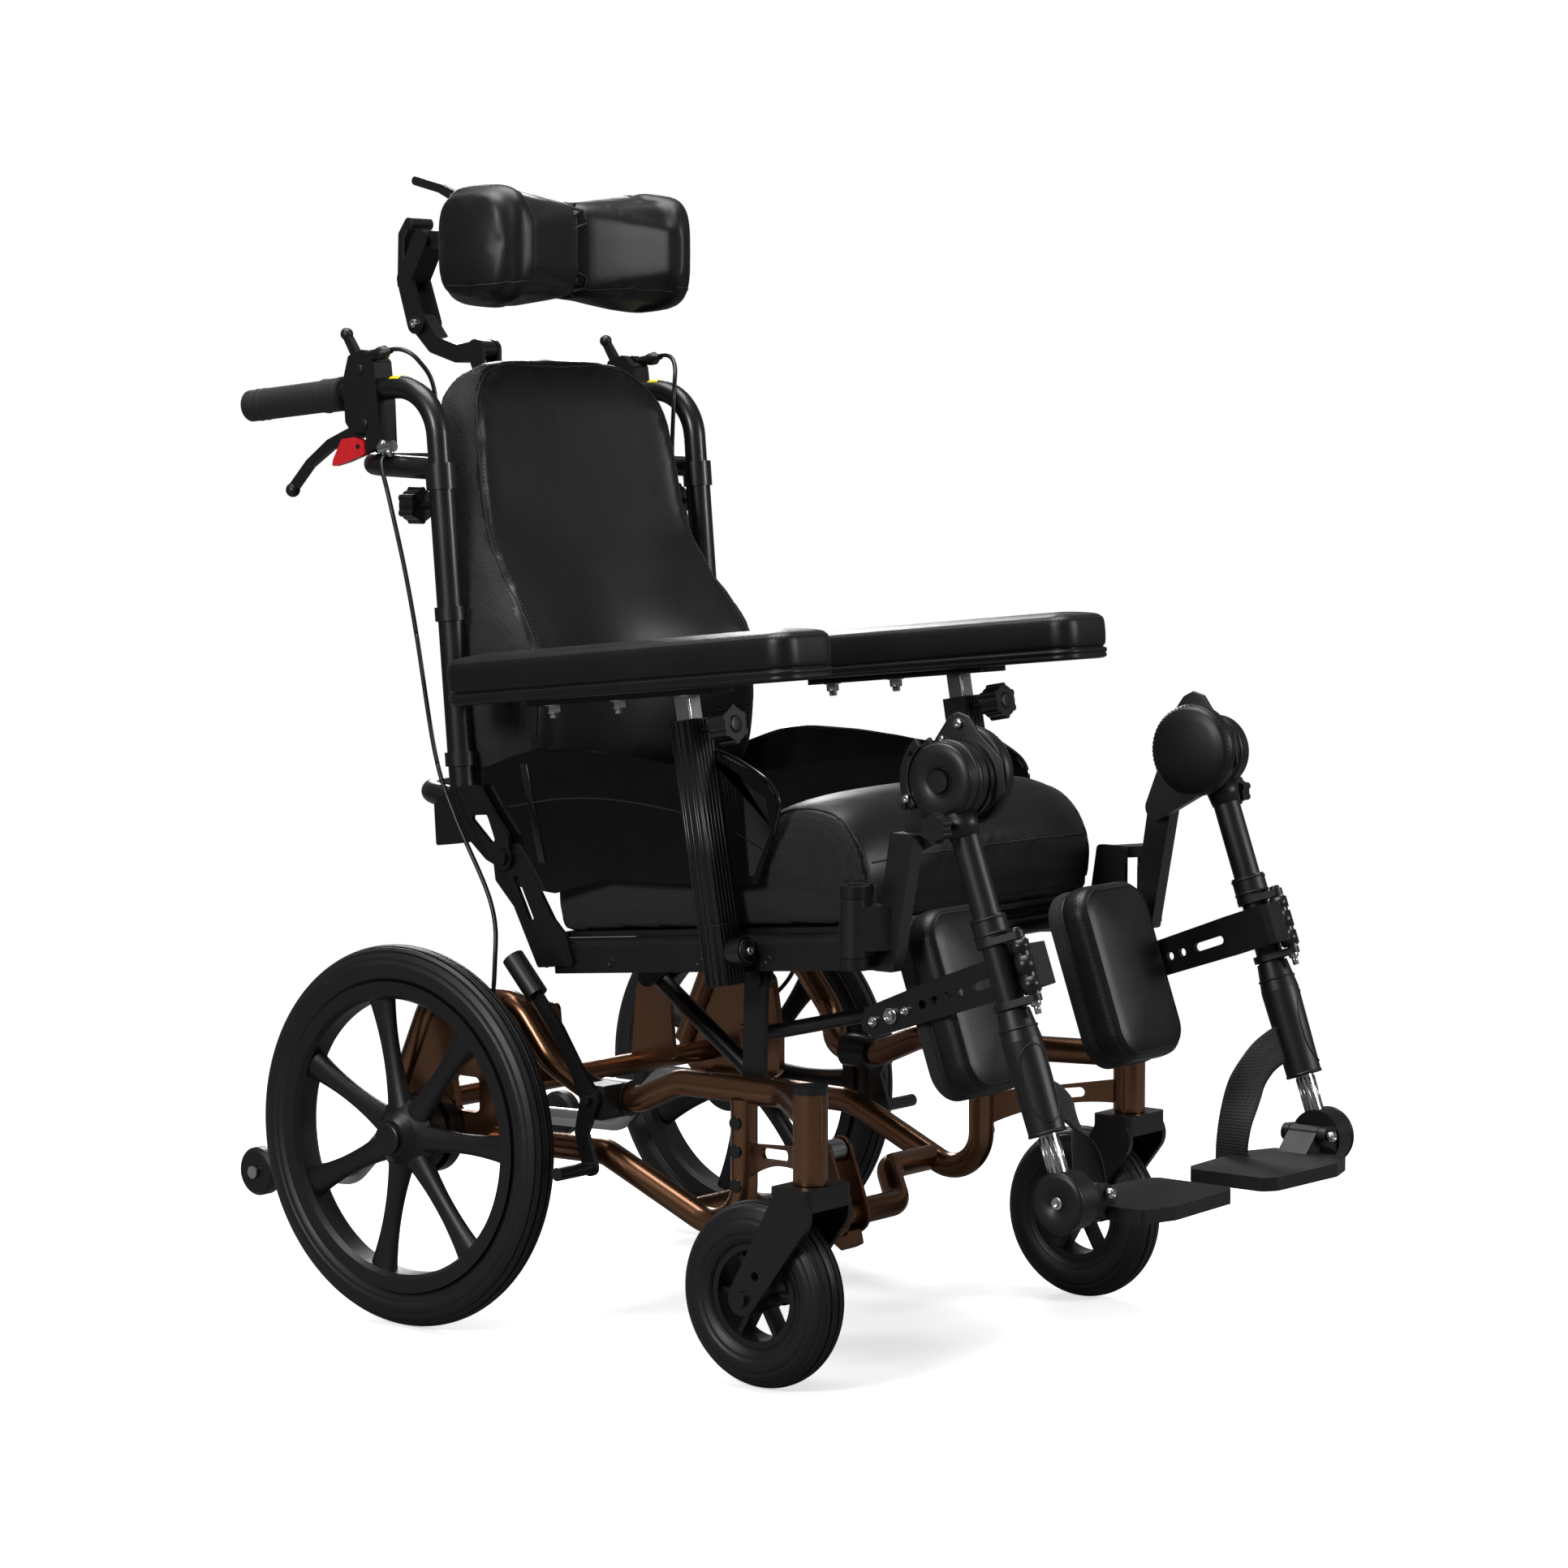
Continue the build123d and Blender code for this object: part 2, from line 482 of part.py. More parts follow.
with BuildPart() as armrest_sockets:
    for side, hand in SIDES:
        socket_plane = Plane(origin=arm_point(side, 0), x_dir=(1, 0, 0), z_dir=arm_axis)
        socket_half = ARM_SOCKET_X - HINGE_X
        with BuildSketch(socket_plane) as socket:
            Rectangle(2 * socket_half, SOCKET_DEPTH)
            Rectangle(ARM_POST + 1.2, ARM_POST + 1.2, mode=Mode.SUBTRACT)
        extrude(socket.sketch, amount=SOCKET_LENGTH)
        knob_direction = arm_point(side, 0, 1) - arm_point(side, 0)
        stem_start = arm_point(side, SOCKET_LENGTH - 12, SOCKET_DEPTH / 2)
        stem_end = arm_point(side, SOCKET_LENGTH - 12, SOCKET_DEPTH / 2 + 22)
        add_rod(tuple(stem_start), tuple(stem_end), 4)
        add_star_knob(stem_end, knob_direction, 20, 22)
        foot_start = arm_point(side, 32, SOCKET_DEPTH / 2)
        foot_end = arm_point(side, 32, SOCKET_DEPTH / 2 + 18)
        add_rod(tuple(foot_start), tuple(foot_end), 15)
save(armrest_sockets.part, "armrest_sockets")

strut_foot = Vector(0, STRUT_FOOT_Y, STRUT_FOOT_Z)
strut_head = Vector(*seat_point(0, STRUT_TOP_U, STRUT_TOP_W))
strut_run = (strut_foot - strut_head).normalized()
STRUT_BODY = 20.0
STRUT_BODY_LENGTH = 195.0
with BuildPart() as tilt_gas_cylinder:
    add_rod(strut_head + strut_run * 8, strut_head + strut_run * STRUT_BODY_LENGTH, STRUT_BODY / 2)
    add_pin(strut_head.Y, strut_head.Z, 11, -10, 10)
    add_pin(strut_head.Y, strut_head.Z, STRUT_PIN / 2 + RUNNING_FIT, -11, 11, mode=Mode.SUBTRACT)
    bore_start = strut_head + strut_run * 40
    bore_end = strut_head + strut_run * (STRUT_BODY_LENGTH + 1)
    add_rod(bore_start, bore_end, STRUT_PIN / 2 + RUNNING_FIT, mode=Mode.SUBTRACT)
save(tilt_gas_cylinder.part, "tilt_gas_cylinder")

with BuildPart() as tilt_gas_rod:
    add_rod(strut_head + strut_run * 130, strut_foot - strut_run * 9, STRUT_PIN / 2)
    add_pin(STRUT_FOOT_Y, STRUT_FOOT_Z, 13, -12, 12)
    add_pin(STRUT_FOOT_Y, STRUT_FOOT_Z, STRUT_PIN / 2 + 3, -13, 13, mode=Mode.SUBTRACT)
save(tilt_gas_rod.part, "tilt_gas_rod")

# ---------------------------------------------------------------- armrests

PAD_X = 244.0
PAD_WIDTH = 90.0
PAD_LENGTH = 467.0
PAD_PITCH = 5.5
PAD_Y = 4.0
PAD_Z = 687.0
PAD_BASE = 12.0
PAD_THICKNESS = 50.0
pad_pitch = math.radians(PAD_PITCH)
pad_normal = (0, math.sin(pad_pitch), math.cos(pad_pitch))

for side, hand in SIDES:
    pad_plane = Plane(origin=(side * PAD_X, PAD_Y, PAD_Z), x_dir=(1, 0, 0), z_dir=pad_normal)
    with BuildPart() as armrest_post:
        post_plane = Plane(origin=arm_point(side, 12), x_dir=(1, 0, 0), z_dir=arm_axis)
        with BuildSketch(post_plane) as post:
            RectangleRounded(ARM_POST, ARM_POST, 2)
        extrude(post.sketch, amount=289.5)
        with BuildSketch(pad_plane.offset(-6)) as mount_plate:
            with Locations((-side * 6, 16)):
                RectangleRounded(44, 250, 6)
        extrude(mount_plate.sketch, amount=6)
        for bolt_y in (-62, 30, 120):
            with BuildSketch(pad_plane.offset(-14)) as bolt:
                with Locations((-side * 6, bolt_y)):
                    RegularPolygon(7, 6)
            extrude(bolt.sketch, amount=9)
    save(armrest_post.part, f"armrest_post_{hand}")

    with BuildPart() as armrest_pad:
        with BuildSketch(pad_plane) as base_shape:
            RectangleRounded(PAD_WIDTH - 4, PAD_LENGTH - 4, 22)
        extrude(base_shape.sketch, amount=PAD_BASE)
        with BuildSketch(pad_plane.offset(PAD_BASE)) as cushion_shape:
            RectangleRounded(PAD_WIDTH, PAD_LENGTH, 24)
        extrude(cushion_shape.sketch, amount=PAD_THICKNESS - PAD_BASE)
        crown_edges = armrest_pad.faces().sort_by(Axis(pad_plane.origin, pad_plane.z_dir))[-1].edges()
        fillet(crown_edges, 11)
    save(armrest_pad.part, f"armrest_pad_{hand}")

# ---------------------------------------------------------------- reclining back

CANE_X = 215.0
CANE_TUBE = 28.0
CANE_FOOT_Y = 271.0
CANE_FOOT_Z = 545.0
CANE_SLOPE = 0.0871
CANE_TOP = 905.0
HANDLE_TUBE = 25.0
HANDLE_FOOT = 795.0
HANDLE_Y = 585.0
HANDLE_Z = 983.0
BAR_TUBE = 24.0
UPPER_BAR_Y = 432.0
LOWER_BAR_Y = 341.0
COLLAR = 33.0
NECK_Y = 436.0
NECK_Z = 1046.0
NECK_PIN = 8.0


def cane_point(side, z):
    """Point on a back cane's axis at a height."""
    return (side * CANE_X, CANE_FOOT_Y + CANE_SLOPE * (z - CANE_FOOT_Z), z)


upper_hinge = [(303, 559), (274, 539), (226, 500), (205, 492), (192, 508), (194, 528), (219, 556), (236, 579)]
upper_hinge += [(263, 577)]
hinge_window = [(250, 546), (224, 548), (213, 522), (217, 517)]
upper_plate_x = HINGE_X + HINGE_PLATE + 1

with BuildPart() as back_frame:
    for side, hand in SIDES:
        add_rod(cane_point(side, 554), cane_point(side, CANE_TOP), CANE_TUBE / 2)
        add_rod(cane_point(side, 892), cane_point(side, 920), COLLAR / 2)
        for clamp_z in (752, 597):
            add_rod(cane_point(side, clamp_z), cane_point(side, clamp_z + 15), CANE_TUBE / 2 + 3)
        add_plate(upper_hinge, upper_plate_x, upper_plate_x + HINGE_PLATE, side, corner=5)
        add_pin(RECLINE_Y, RECLINE_Z, 14, upper_plate_x, upper_plate_x + HINGE_PLATE, side)
        far = upper_plate_x + HINGE_PLATE + 1
        add_plate(hinge_window, upper_plate_x - 1, far, side, corner=3, mode=Mode.SUBTRACT)
        add_pin(
            RECLINE_Y, RECLINE_Z, RECLINE_PIN / 2 + RUNNING_FIT, upper_plate_x - 1, far, side, Mode.SUBTRACT,
        )
        add_plate([(270, 514), (303, 510), (306, 556), (270, 556)], CANE_X - 9, upper_plate_x, side, corner=3)
        knob_y = cane_point(side, 875)[1] + 29
        add_rod(cane_point(side, 875), (side * CANE_X, knob_y, 875), 4)
        add_star_knob((side * CANE_X, knob_y, 875), (0, 1, 0), 20, 20)
    for bar_y, bar_z, bend in ((UPPER_BAR_Y, 920, 55), (LOWER_BAR_Y, 567, 40)):
        left_root = cane_point(1, bar_z - 6)
        right_root = cane_point(-1, bar_z - 6)
        bar = [right_root, (-CANE_X, bar_y, bar_z), (CANE_X, bar_y, bar_z), left_root]
        add_tube(bar, bend, BAR_TUBE / 2)
    with BuildSketch(Plane.XY.offset(920)) as stanchion:
        with Locations((0, UPPER_BAR_Y)):
            RectangleRounded(32, 12, 2)
    extrude(stanchion.sketch, amount=112)
    for side, hand in SIDES:
        add_link((UPPER_BAR_Y, 1026, 8), (NECK_Y, NECK_Z, 12), 11, 16, side)
        add_rod(
            cane_point(side, HANDLE_FOOT - 6), cane_point(side, 930), HANDLE_TUBE / 2 + RUNNING_FIT, Mode.SUBTRACT,
        )
    add_pin(NECK_Y, NECK_Z, NECK_PIN / 2, -16, 16)
save(back_frame.part, "back_frame")

back_sections = (
    (566, 190, 214, 258, 320),
    (600, 196, 200, 250, 325),
    (670, 198, 196, 250, 332),
    (731, 197, 202, 256, 338),
    (800, 192, 250, 276, 345),
    (855, 185, 280, 290, 350),
    (938, 180, 296, 305, 360),
    (1000, 165, 308, 317, 368),
    (1030, 120, 326, 334, 362),
)
with BuildPart() as back_cushion:
    for z, half_width, edge_y, middle_y, rear_y in back_sections:
        with BuildSketch(Plane.XY.offset(z)):
            with BuildLine():
                Line((-half_width, rear_y - 18), (-half_width, edge_y + 14))
                ThreePointArc(
                    (-half_width, edge_y + 14), (-half_width * 0.93, edge_y), (-half_width * 0.8, edge_y + 4),
                )
                ThreePointArc((-half_width * 0.8, edge_y + 4), (0, middle_y), (half_width * 0.8, edge_y + 4))
                ThreePointArc(
                    (half_width * 0.8, edge_y + 4), (half_width * 0.93, edge_y), (half_width, edge_y + 14),
                )
                Line((half_width, edge_y + 14), (half_width, rear_y - 18))
                ThreePointArc((half_width, rear_y - 18), (0, rear_y), (-half_width, rear_y - 18))
            make_face()
    loft()
save(back_cushion.part, "back_cushion")

housing = [(434, 1010), (426, 1036), (403, 1043), (388, 1030), (382, 985), (380, 938), (402, 930), (431, 964)]
HOUSING_NEAR = CANE_X - 14
HOUSING_FAR = CANE_X + 14
LEVER_HALF = 4.0
RELEASE_Y = 408.0
RELEASE_Z = 1021.0
BRAKE_Y = 402.0
BRAKE_Z = 962.0
TAB_Y = 412.0
TAB_Z = 938.0
LEVER_PIN = 5.0
GRIP_START = 442.0
GRIP_RADIUS = 17.5
CABLE = 5.0

handle_corner_z = 1007.0
slot_half = LEVER_HALF + SOFT_GAP

release_cable = [(226, 378, 1041), (222, 352, 1042), (214, 335, 1030), (201, 325, 1000), (197, 325, 930)]
release_cable += [(197, 323, 868), (205, 316, 820), (207, 311, 770), (207, 297, 618)]
brake_cable = [(224, 375, 930.5), (237, 369, 918), (244, 352, 884), (242, 332, 810), (240, 316, 735), (240, 290, 610)]
brake_cable += [(240, 262, 545), (243, 206, 458), (259, 188, 400), (262, 200, 330), (260, 268, 268)]

with BuildPart() as control_cables:
    for side, hand in SIDES:
        add_tube([(side * x, y, z) for x, y, z in release_cable], 9, CABLE / 2)
        add_tube([(side * x, y, z) for x, y, z in brake_cable], 9, CABLE / 2)
    add(back_frame.part, mode=Mode.SUBTRACT)
save(control_cables.part, "control_cables")

for side, hand in SIDES:
    foot = cane_point(side, HANDLE_FOOT)
    corner = cane_point(side, handle_corner_z)
    tip = (side * CANE_X, HANDLE_Y, HANDLE_Z)
    along_handle = (Vector(*tip) - Vector(*corner)).normalized()

    def on_handle(y):
        """Point on the handle's upper run at a distance back."""
        return Vector(*corner) + along_handle * ((y - corner[1]) / along_handle.Y)

    with BuildPart() as push_handle:
        add_tube([foot, corner, tip], 58, HANDLE_TUBE / 2)
        add_plate(housing, HOUSING_NEAR, HOUSING_FAR, side, corner=4)
        add_plate(
            [(392, 1012), (392, 1060), (450, 1060), (450, 1012)],
            CANE_X - slot_half, CANE_X + slot_half, side, mode=Mode.SUBTRACT,
        )
        add_plate(
            [(390, 924), (386, 972), (404, 974), (450, 972), (450, 924)],
            CANE_X - slot_half, CANE_X + slot_half, side, mode=Mode.SUBTRACT,
        )
        add_plate(
            [(400, 920), (400, 953), (450, 953), (450, 920)],
            CANE_X + slot_half, HOUSING_FAR + 1, side, mode=Mode.SUBTRACT,
        )
        add_pin(RELEASE_Y, RELEASE_Z, LEVER_PIN / 2, HOUSING_NEAR, HOUSING_FAR, side)
        add_pin(BRAKE_Y, BRAKE_Z, LEVER_PIN / 2, HOUSING_NEAR, HOUSING_FAR, side)
        add_pin(TAB_Y, TAB_Z, LEVER_PIN / 2, HOUSING_NEAR, HOUSING_FAR + 1, side)
        for adjuster_y, adjuster_z in ((RELEASE_Y, 1036), (BRAKE_Y - 8, 936)):
            near_end = (side * (HOUSING_FAR - 4), adjuster_y - 12, adjuster_z)
            far_end = (side * (HOUSING_FAR - 4), adjuster_y - 32, adjuster_z + 3)
            add_rod(near_end, far_end, 6)
        add(control_cables.part, mode=Mode.SUBTRACT)
    save(push_handle.part, f"push_handle_{hand}")

    with BuildPart() as push_grip:
        add_rod(on_handle(GRIP_START), on_handle(HANDLE_Y + 4), GRIP_RADIUS)
        add_rod(on_handle(GRIP_START + 2), on_handle(GRIP_START + 32), GRIP_RADIUS + 1)
        add(push_handle.part, mode=Mode.SUBTRACT)
    save(push_grip.part, f"push_grip_{hand}")

    lever_near = CANE_X - LEVER_HALF
    lever_far = CANE_X + LEVER_HALF
    with BuildPart() as release_lever:
        add_link((RELEASE_Y, RELEASE_Z, 6.5), (426, 1037, 5), lever_near, lever_far, side)
        add_link((426, 1037, 5), (440, 1058, 4), lever_near, lever_far, side)
        with Locations((side * CANE_X, 441, 1060)):
            Sphere(7)
        add_pin(
            RELEASE_Y, RELEASE_Z, LEVER_PIN / 2 + RUNNING_FIT, lever_near - 1, lever_far + 4, side, Mode.SUBTRACT,
        )
    save(release_lever.part, f"release_lever_{hand}")

    with BuildPart() as brake_lever:
        brake_route = [(BRAKE_Y, BRAKE_Z, 8), (440, 948, 8), (466, 940, 6), (498, 919, 5), (524, 893, 5)]
        for first, second in zip(brake_route, brake_route[1:]):
            add_link(first, second, lever_near, lever_far, side)
        with Locations((side * CANE_X, 526, 890)):
            Sphere(8)
        add_pin(
            BRAKE_Y, BRAKE_Z, LEVER_PIN / 2 + RUNNING_FIT, lever_near - 1, lever_far + 1, side, Mode.SUBTRACT,
        )
    save(brake_lever.part, f"brake_lever_{hand}")

    with BuildPart() as lock_tab:
        tab = [(402, 930), (430, 921), (452, 916), (450, 924), (437, 946), (418, 948), (404, 944)]
        tab_near = CANE_X + slot_half + SOFT_GAP
        add_plate(tab, tab_near, HOUSING_FAR, side, corner=2)
        add_pin(TAB_Y, TAB_Z, LEVER_PIN / 2 + RUNNING_FIT, tab_near - 1, HOUSING_FAR + 1, side, Mode.SUBTRACT)
    save(lock_tab.part, f"lock_tab_{hand}")

# ---------------------------------------------------------------- headrest

ELBOW_Y = 528.0
ELBOW_Z = 1077.0
NOD_Y = 392.0
NOD_Z = 1165.0
CLAMP_Y = 425.0
CLAMP_Z = 1196.0

with BuildPart() as headrest_lower_arm:
    lower_route = [(NECK_Y, NECK_Z, 11), (470, 1042, 10), (506, 1053, 10), (ELBOW_Y, ELBOW_Z, 12)]
    for first, second in zip(lower_route, lower_route[1:]):
        add_link(first, second, -10, 10)
    for pin_y, pin_z in ((NECK_Y, NECK_Z), (ELBOW_Y, ELBOW_Z)):
        add_pin(pin_y, pin_z, NECK_PIN / 2 + RUNNING_FIT, -11, 11, mode=Mode.SUBTRACT)
save(headrest_lower_arm.part, "headrest_lower_arm")

with BuildPart() as headrest_upper_arm:
    for side, hand in SIDES:
        add_link((ELBOW_Y, ELBOW_Z, 12), (545, 1128, 11), 10.8, 16, side)
        add_link((CLAMP_Y, 1168, 8), (CLAMP_Y, CLAMP_Z, 8), 4.6, 9, side)
    add_pin(ELBOW_Y, ELBOW_Z, NECK_PIN / 2, -16, 16)
    add_link((545, 1128, 11), (520, 1172, 11), -16, 16)
    add_link((520, 1172, 10), (NOD_Y, NOD_Z, 9), -9, 9)
    add_pin(NOD_Y, NOD_Z, NECK_PIN / 2, -15, 15)
    add_pin(CLAMP_Y, CLAMP_Z, 3, -9, 9)
save(headrest_upper_arm.part, "headrest_upper_arm")

with BuildPart() as headrest_lever:
    add_link((CLAMP_Y, CLAMP_Z, 8), (500, 1229, 5), -4, 4)
    add_link((500, 1229, 5), (538, 1239, 5), -4, 4)
    add_pin(CLAMP_Y, CLAMP_Z, 3 + RUNNING_FIT, -5, 5, mode=Mode.SUBTRACT)
save(headrest_lever.part, "headrest_lever")

head_sections = (
    (-155, 282, 344, 1112, 1198),
    (-146, 259, 362, 1094, 1217),
    (-98, 264, 368, 1091, 1218),
    (-78, 288, 368, 1095, 1214),
    (0, 292, 366, 1097, 1211),
    (78, 288, 368, 1095, 1214),
    (98, 264, 368, 1091, 1218),
    (146, 259, 362, 1094, 1217),
    (155, 282, 344, 1112, 1198),
)
with BuildPart() as headrest_pad:
    for x, front, rear, low, high in head_sections:
        middle_y = (front + rear) / 2
        middle_z = (low + high) / 2
        with BuildSketch(Plane.YZ.offset(x)):
            with BuildLine():
                ThreePointArc((front + 9, low + 8), (middle_y, low), (rear - 9, low + 8))
                ThreePointArc((rear - 9, low + 8), (rear, middle_z), (rear - 9, high - 8))
                ThreePointArc((rear - 9, high - 8), (middle_y, high), (front + 9, high - 8))
                ThreePointArc((front + 9, high - 8), (front, middle_z), (front + 9, low + 8))
            make_face()
    loft()
    for side, hand in SIDES:
        add_link((NOD_Y, NOD_Z, 9), (360, NOD_Z, 14), 9.6, 14, side)
    add_pin(NOD_Y, NOD_Z, NECK_PIN / 2 + RUNNING_FIT, -20, 20, mode=Mode.SUBTRACT)
save(headrest_pad.part, "headrest_pad")

# ---------------------------------------------------------------- leg rests

KNEE_Y = -387.0
KNEE_Z = 617.0
LEG_LEAN = 19.5
LEG_X = 235.0
KNEE_PIN = 12.0
KNEE_INNER = 221.0
HANGER_NEAR = HINGE_X + SOFT_GAP
LEG_TUBE = 28.0
INNER_TUBE = 19.0
FOOT_DISC_AT = 421.0
FOOT_DISC = 58.0
CALF_PIN_AT = -28.0
CALF_PIN = 8.0
CALF_PLATE_X = 200.0
CALF_PAD_X = 134.0
CALF_PAD_WIDTH = 125.0
FLIP_X = 204.0
FLIP_Z = 227.0
FLIP_PIN = 8.0
PLATE_TOP = 211.0
STRAP_FOOT_X = 126.0
STRAP_FOOT_Z = 200.0

leg_lean = math.radians(LEG_LEAN)
leg_down = Vector(0, -math.sin(leg_lean), -math.cos(leg_lean))
leg_back = Vector(0, math.cos(leg_lean), -math.sin(leg_lean))
leg_side = Plane(origin=(0, KNEE_Y, KNEE_Z), x_dir=leg_back, z_dir=(1, 0, 0))


def leg_point(x, down, back=0.0):
    """Point at a distance down a leg tube from the knee, and behind it."""
    return Vector(x, KNEE_Y, KNEE_Z) + leg_down * down + leg_back * back


def leg_section(x, down):
    """Plane across a leg tube, with its own Y to the rear; a negative extrusion runs down the leg."""
    return Plane(origin=leg_point(x, down), x_dir=(1, 0, 0), z_dir=-leg_down)


for side, hand in SIDES:
    leg_x = side * LEG_X
    with BuildPart() as legrest_hanger:
        with BuildSketch(Plane.XY.offset(446)) as lug:
            with Locations((side * SWING_X, SWING_Y)):
                Circle(13)
            with Locations((side * (HANGER_NEAR + 9), -312)):
                Rectangle(16, 18)
            make_hull()
        extrude(lug.sketch, amount=44)
        add_rod((side * SWING_X, SWING_Y, 439.6), (side * SWING_X, SWING_Y, 497.4), 13)
        hanger = [(-322, 424), (-297, 424), (-318, 562), (-347, 562)]
        add_plate(hanger, HANGER_NEAR, HANGER_NEAR + 18, side, corner=3)
        add_link((-334, 556, 13), (KNEE_Y, KNEE_Z, 40), KNEE_INNER - 12, KNEE_INNER, side)
        add_pin(KNEE_Y, KNEE_Z, KNEE_PIN / 2, KNEE_INNER, 252, side)
        add_pin(KNEE_Y, KNEE_Z, 11, 249.6, 254, side)
        swing_low = (side * SWING_X, SWING_Y, 430)
        swing_high = (side * SWING_X, SWING_Y, 510)
        add_rod(swing_low, swing_high, SWING_PIN / 2 + RUNNING_FIT, mode=Mode.SUBTRACT)
    save(legrest_hanger.part, f"legrest_hanger_{hand}")

    with BuildPart() as knee_pad:
        add_pin(KNEE_Y, KNEE_Z + 3, 49, KNEE_INNER - 34, KNEE_INNER - 12.3, side)
        fillet(knee_pad.edges().filter_by(GeomType.CIRCLE), 8)
    save(knee_pad.part, f"knee_pad_{hand}")

    with BuildPart() as leg_tube:
        add_pin(KNEE_Y, KNEE_Z, 38, KNEE_INNER + 0.6, 249, side)
        add_rod(leg_point(leg_x, 30), leg_point(leg_x, 240), LEG_TUBE / 2)
        add_rod(leg_point(leg_x, 138), leg_point(leg_x, 160), 17.5)
        with BuildSketch(Plane(origin=leg_point(leg_x, 232), z_dir=leg_down)):
            Circle(16)
        with BuildSketch(Plane(origin=leg_point(leg_x, 262), z_dir=leg_down)):
            Circle(20)
        with BuildSketch(Plane(origin=leg_point(leg_x, 355), z_dir=leg_down)):
            Circle(18.5)
        loft(ruled=True)
        for lug_at in (160, 223):
            with BuildSketch(leg_section(leg_x, lug_at)) as lug:
                Circle(18)
                with Locations((0, CALF_PIN_AT)):
                    Circle(7.5)
                make_hull()
            extrude(lug.sketch, amount=-7)
        add_rod(leg_point(leg_x, 160, CALF_PIN_AT), leg_point(leg_x, 230, CALF_PIN_AT), CALF_PIN / 2)
        add_pin(KNEE_Y - 10, KNEE_Z - 44, 5, LEG_X + 8, 262, side)
        add_star_knob((side * 262, KNEE_Y - 10, KNEE_Z - 44), (side, 0, 0), 15, 14)
        add_pin(KNEE_Y, KNEE_Z, KNEE_PIN / 2 + RUNNING_FIT, KNEE_INNER, 250, side, Mode.SUBTRACT)
        bore = INNER_TUBE / 2 + RUNNING_FIT
        add_rod(leg_point(leg_x, 195), leg_point(leg_x, 356), bore, mode=Mode.SUBTRACT)
    save(leg_tube.part, f"leg_tube_{hand}")

    with BuildPart() as calf_bracket:
        add_rod(leg_point(leg_x, 168, CALF_PIN_AT), leg_point(leg_x, 222, CALF_PIN_AT), 8)
        with BuildSketch(leg_section(0, 174)) as elbow:
            with BuildLine():
                Polyline(
                    (side * LEG_X, CALF_PIN_AT - 6), (side * (CALF_PLATE_X + 2), CALF_PIN_AT - 6),
                    (side * (CALF_PLATE_X - 3), CALF_PIN_AT), (side * (CALF_PLATE_X - 3), 20),
                    (side * (CALF_PLATE_X + 3), 20), (side * (CALF_PLATE_X + 3), CALF_PIN_AT + 4),
                    (side * LEG_X, CALF_PIN_AT + 4), close=True,
                )
            make_face()
        extrude(elbow.sketch, amount=-42)
        plate = [(15, -174), (15, -216), (110, -214), (196, -212), (207, -204), (207, -190), (198, -181)]
        near = CALF_PLATE_X - 3
        far = CALF_PLATE_X + 3
        add_plate(plate + [(110, -176)], near, far, side, base=leg_side)
        for hole_at in (80, 96, 112, 128):
            with BuildSketch(leg_side.offset(side * (near - 1))) as hole:
                with Locations((hole_at, -196)):
                    Circle(4.5)
            extrude(hole.sketch, amount=side * 8, mode=Mode.SUBTRACT)
        with BuildSketch(leg_side.offset(side * (near - 1))) as slot:
            with Locations((45, -196)):
                SlotOverall(38, 9)
        extrude(slot.sketch, amount=side * 8, mode=Mode.SUBTRACT)
        for rivet_at, radius in ((148, 4), (168, 8), (191, 5)):
            with BuildSketch(leg_side.offset(side * far)) as rivet:
                with Locations((rivet_at, -197)):
                    Circle(radius)
            extrude(rivet.sketch, amount=side * 4)
        bore = CALF_PIN / 2 + RUNNING_FIT
        add_rod(
            leg_point(leg_x, 160, CALF_PIN_AT), leg_point(leg_x, 230, CALF_PIN_AT), bore, mode=Mode.SUBTRACT,
        )
    save(calf_bracket.part, f"calf_bracket_{hand}")

    with BuildPart() as calf_pad:
        pad_side = Plane(origin=leg_point(side * CALF_PAD_X, 201, 132), x_dir=(1, 0, 0), z_dir=leg_back)
        with BuildSketch(pad_side) as backing:
            RectangleRounded(CALF_PAD_WIDTH, 190, 34)
        extrude(backing.sketch, amount=20)
        with BuildSketch(pad_side) as cushion:
            RectangleRounded(CALF_PAD_WIDTH - 4, 192, 36)
        extrude(cushion.sketch, amount=-32)
        front_face = calf_pad.faces().sort_by(Axis(pad_side.origin, pad_side.z_dir))[0]
        fillet(front_face.edges(), 12)
    save(calf_pad.part, f"calf_pad_{hand}")

    with BuildPart() as leg_extension:
        disc = leg_point(leg_x, FOOT_DISC_AT)
        add_rod(leg_point(leg_x, 200), leg_point(leg_x, 402), INNER_TUBE / 2)
        add_pin(disc.Y, disc.Z, FOOT_DISC / 2, 222, 250, side)
        for lug_y in (disc.Y - 26, disc.Y + 18):
            with BuildSketch(Plane.XZ.offset(-lug_y - 8)) as lug:
                with Locations((side * FLIP_X, FLIP_Z)):
                    Circle(9)
                with Locations((side * 223, FLIP_Z - 6)):
                    Rectangle(4, 26)
                make_hull()
            extrude(lug.sketch, amount=8)
        pin_start = (side * FLIP_X, disc.Y - 29, FLIP_Z)
        pin_end = (side * FLIP_X, disc.Y + 29, FLIP_Z)
        add_rod(pin_start, pin_end, FLIP_PIN / 2)
    save(leg_extension.part, f"leg_extension_{hand}")

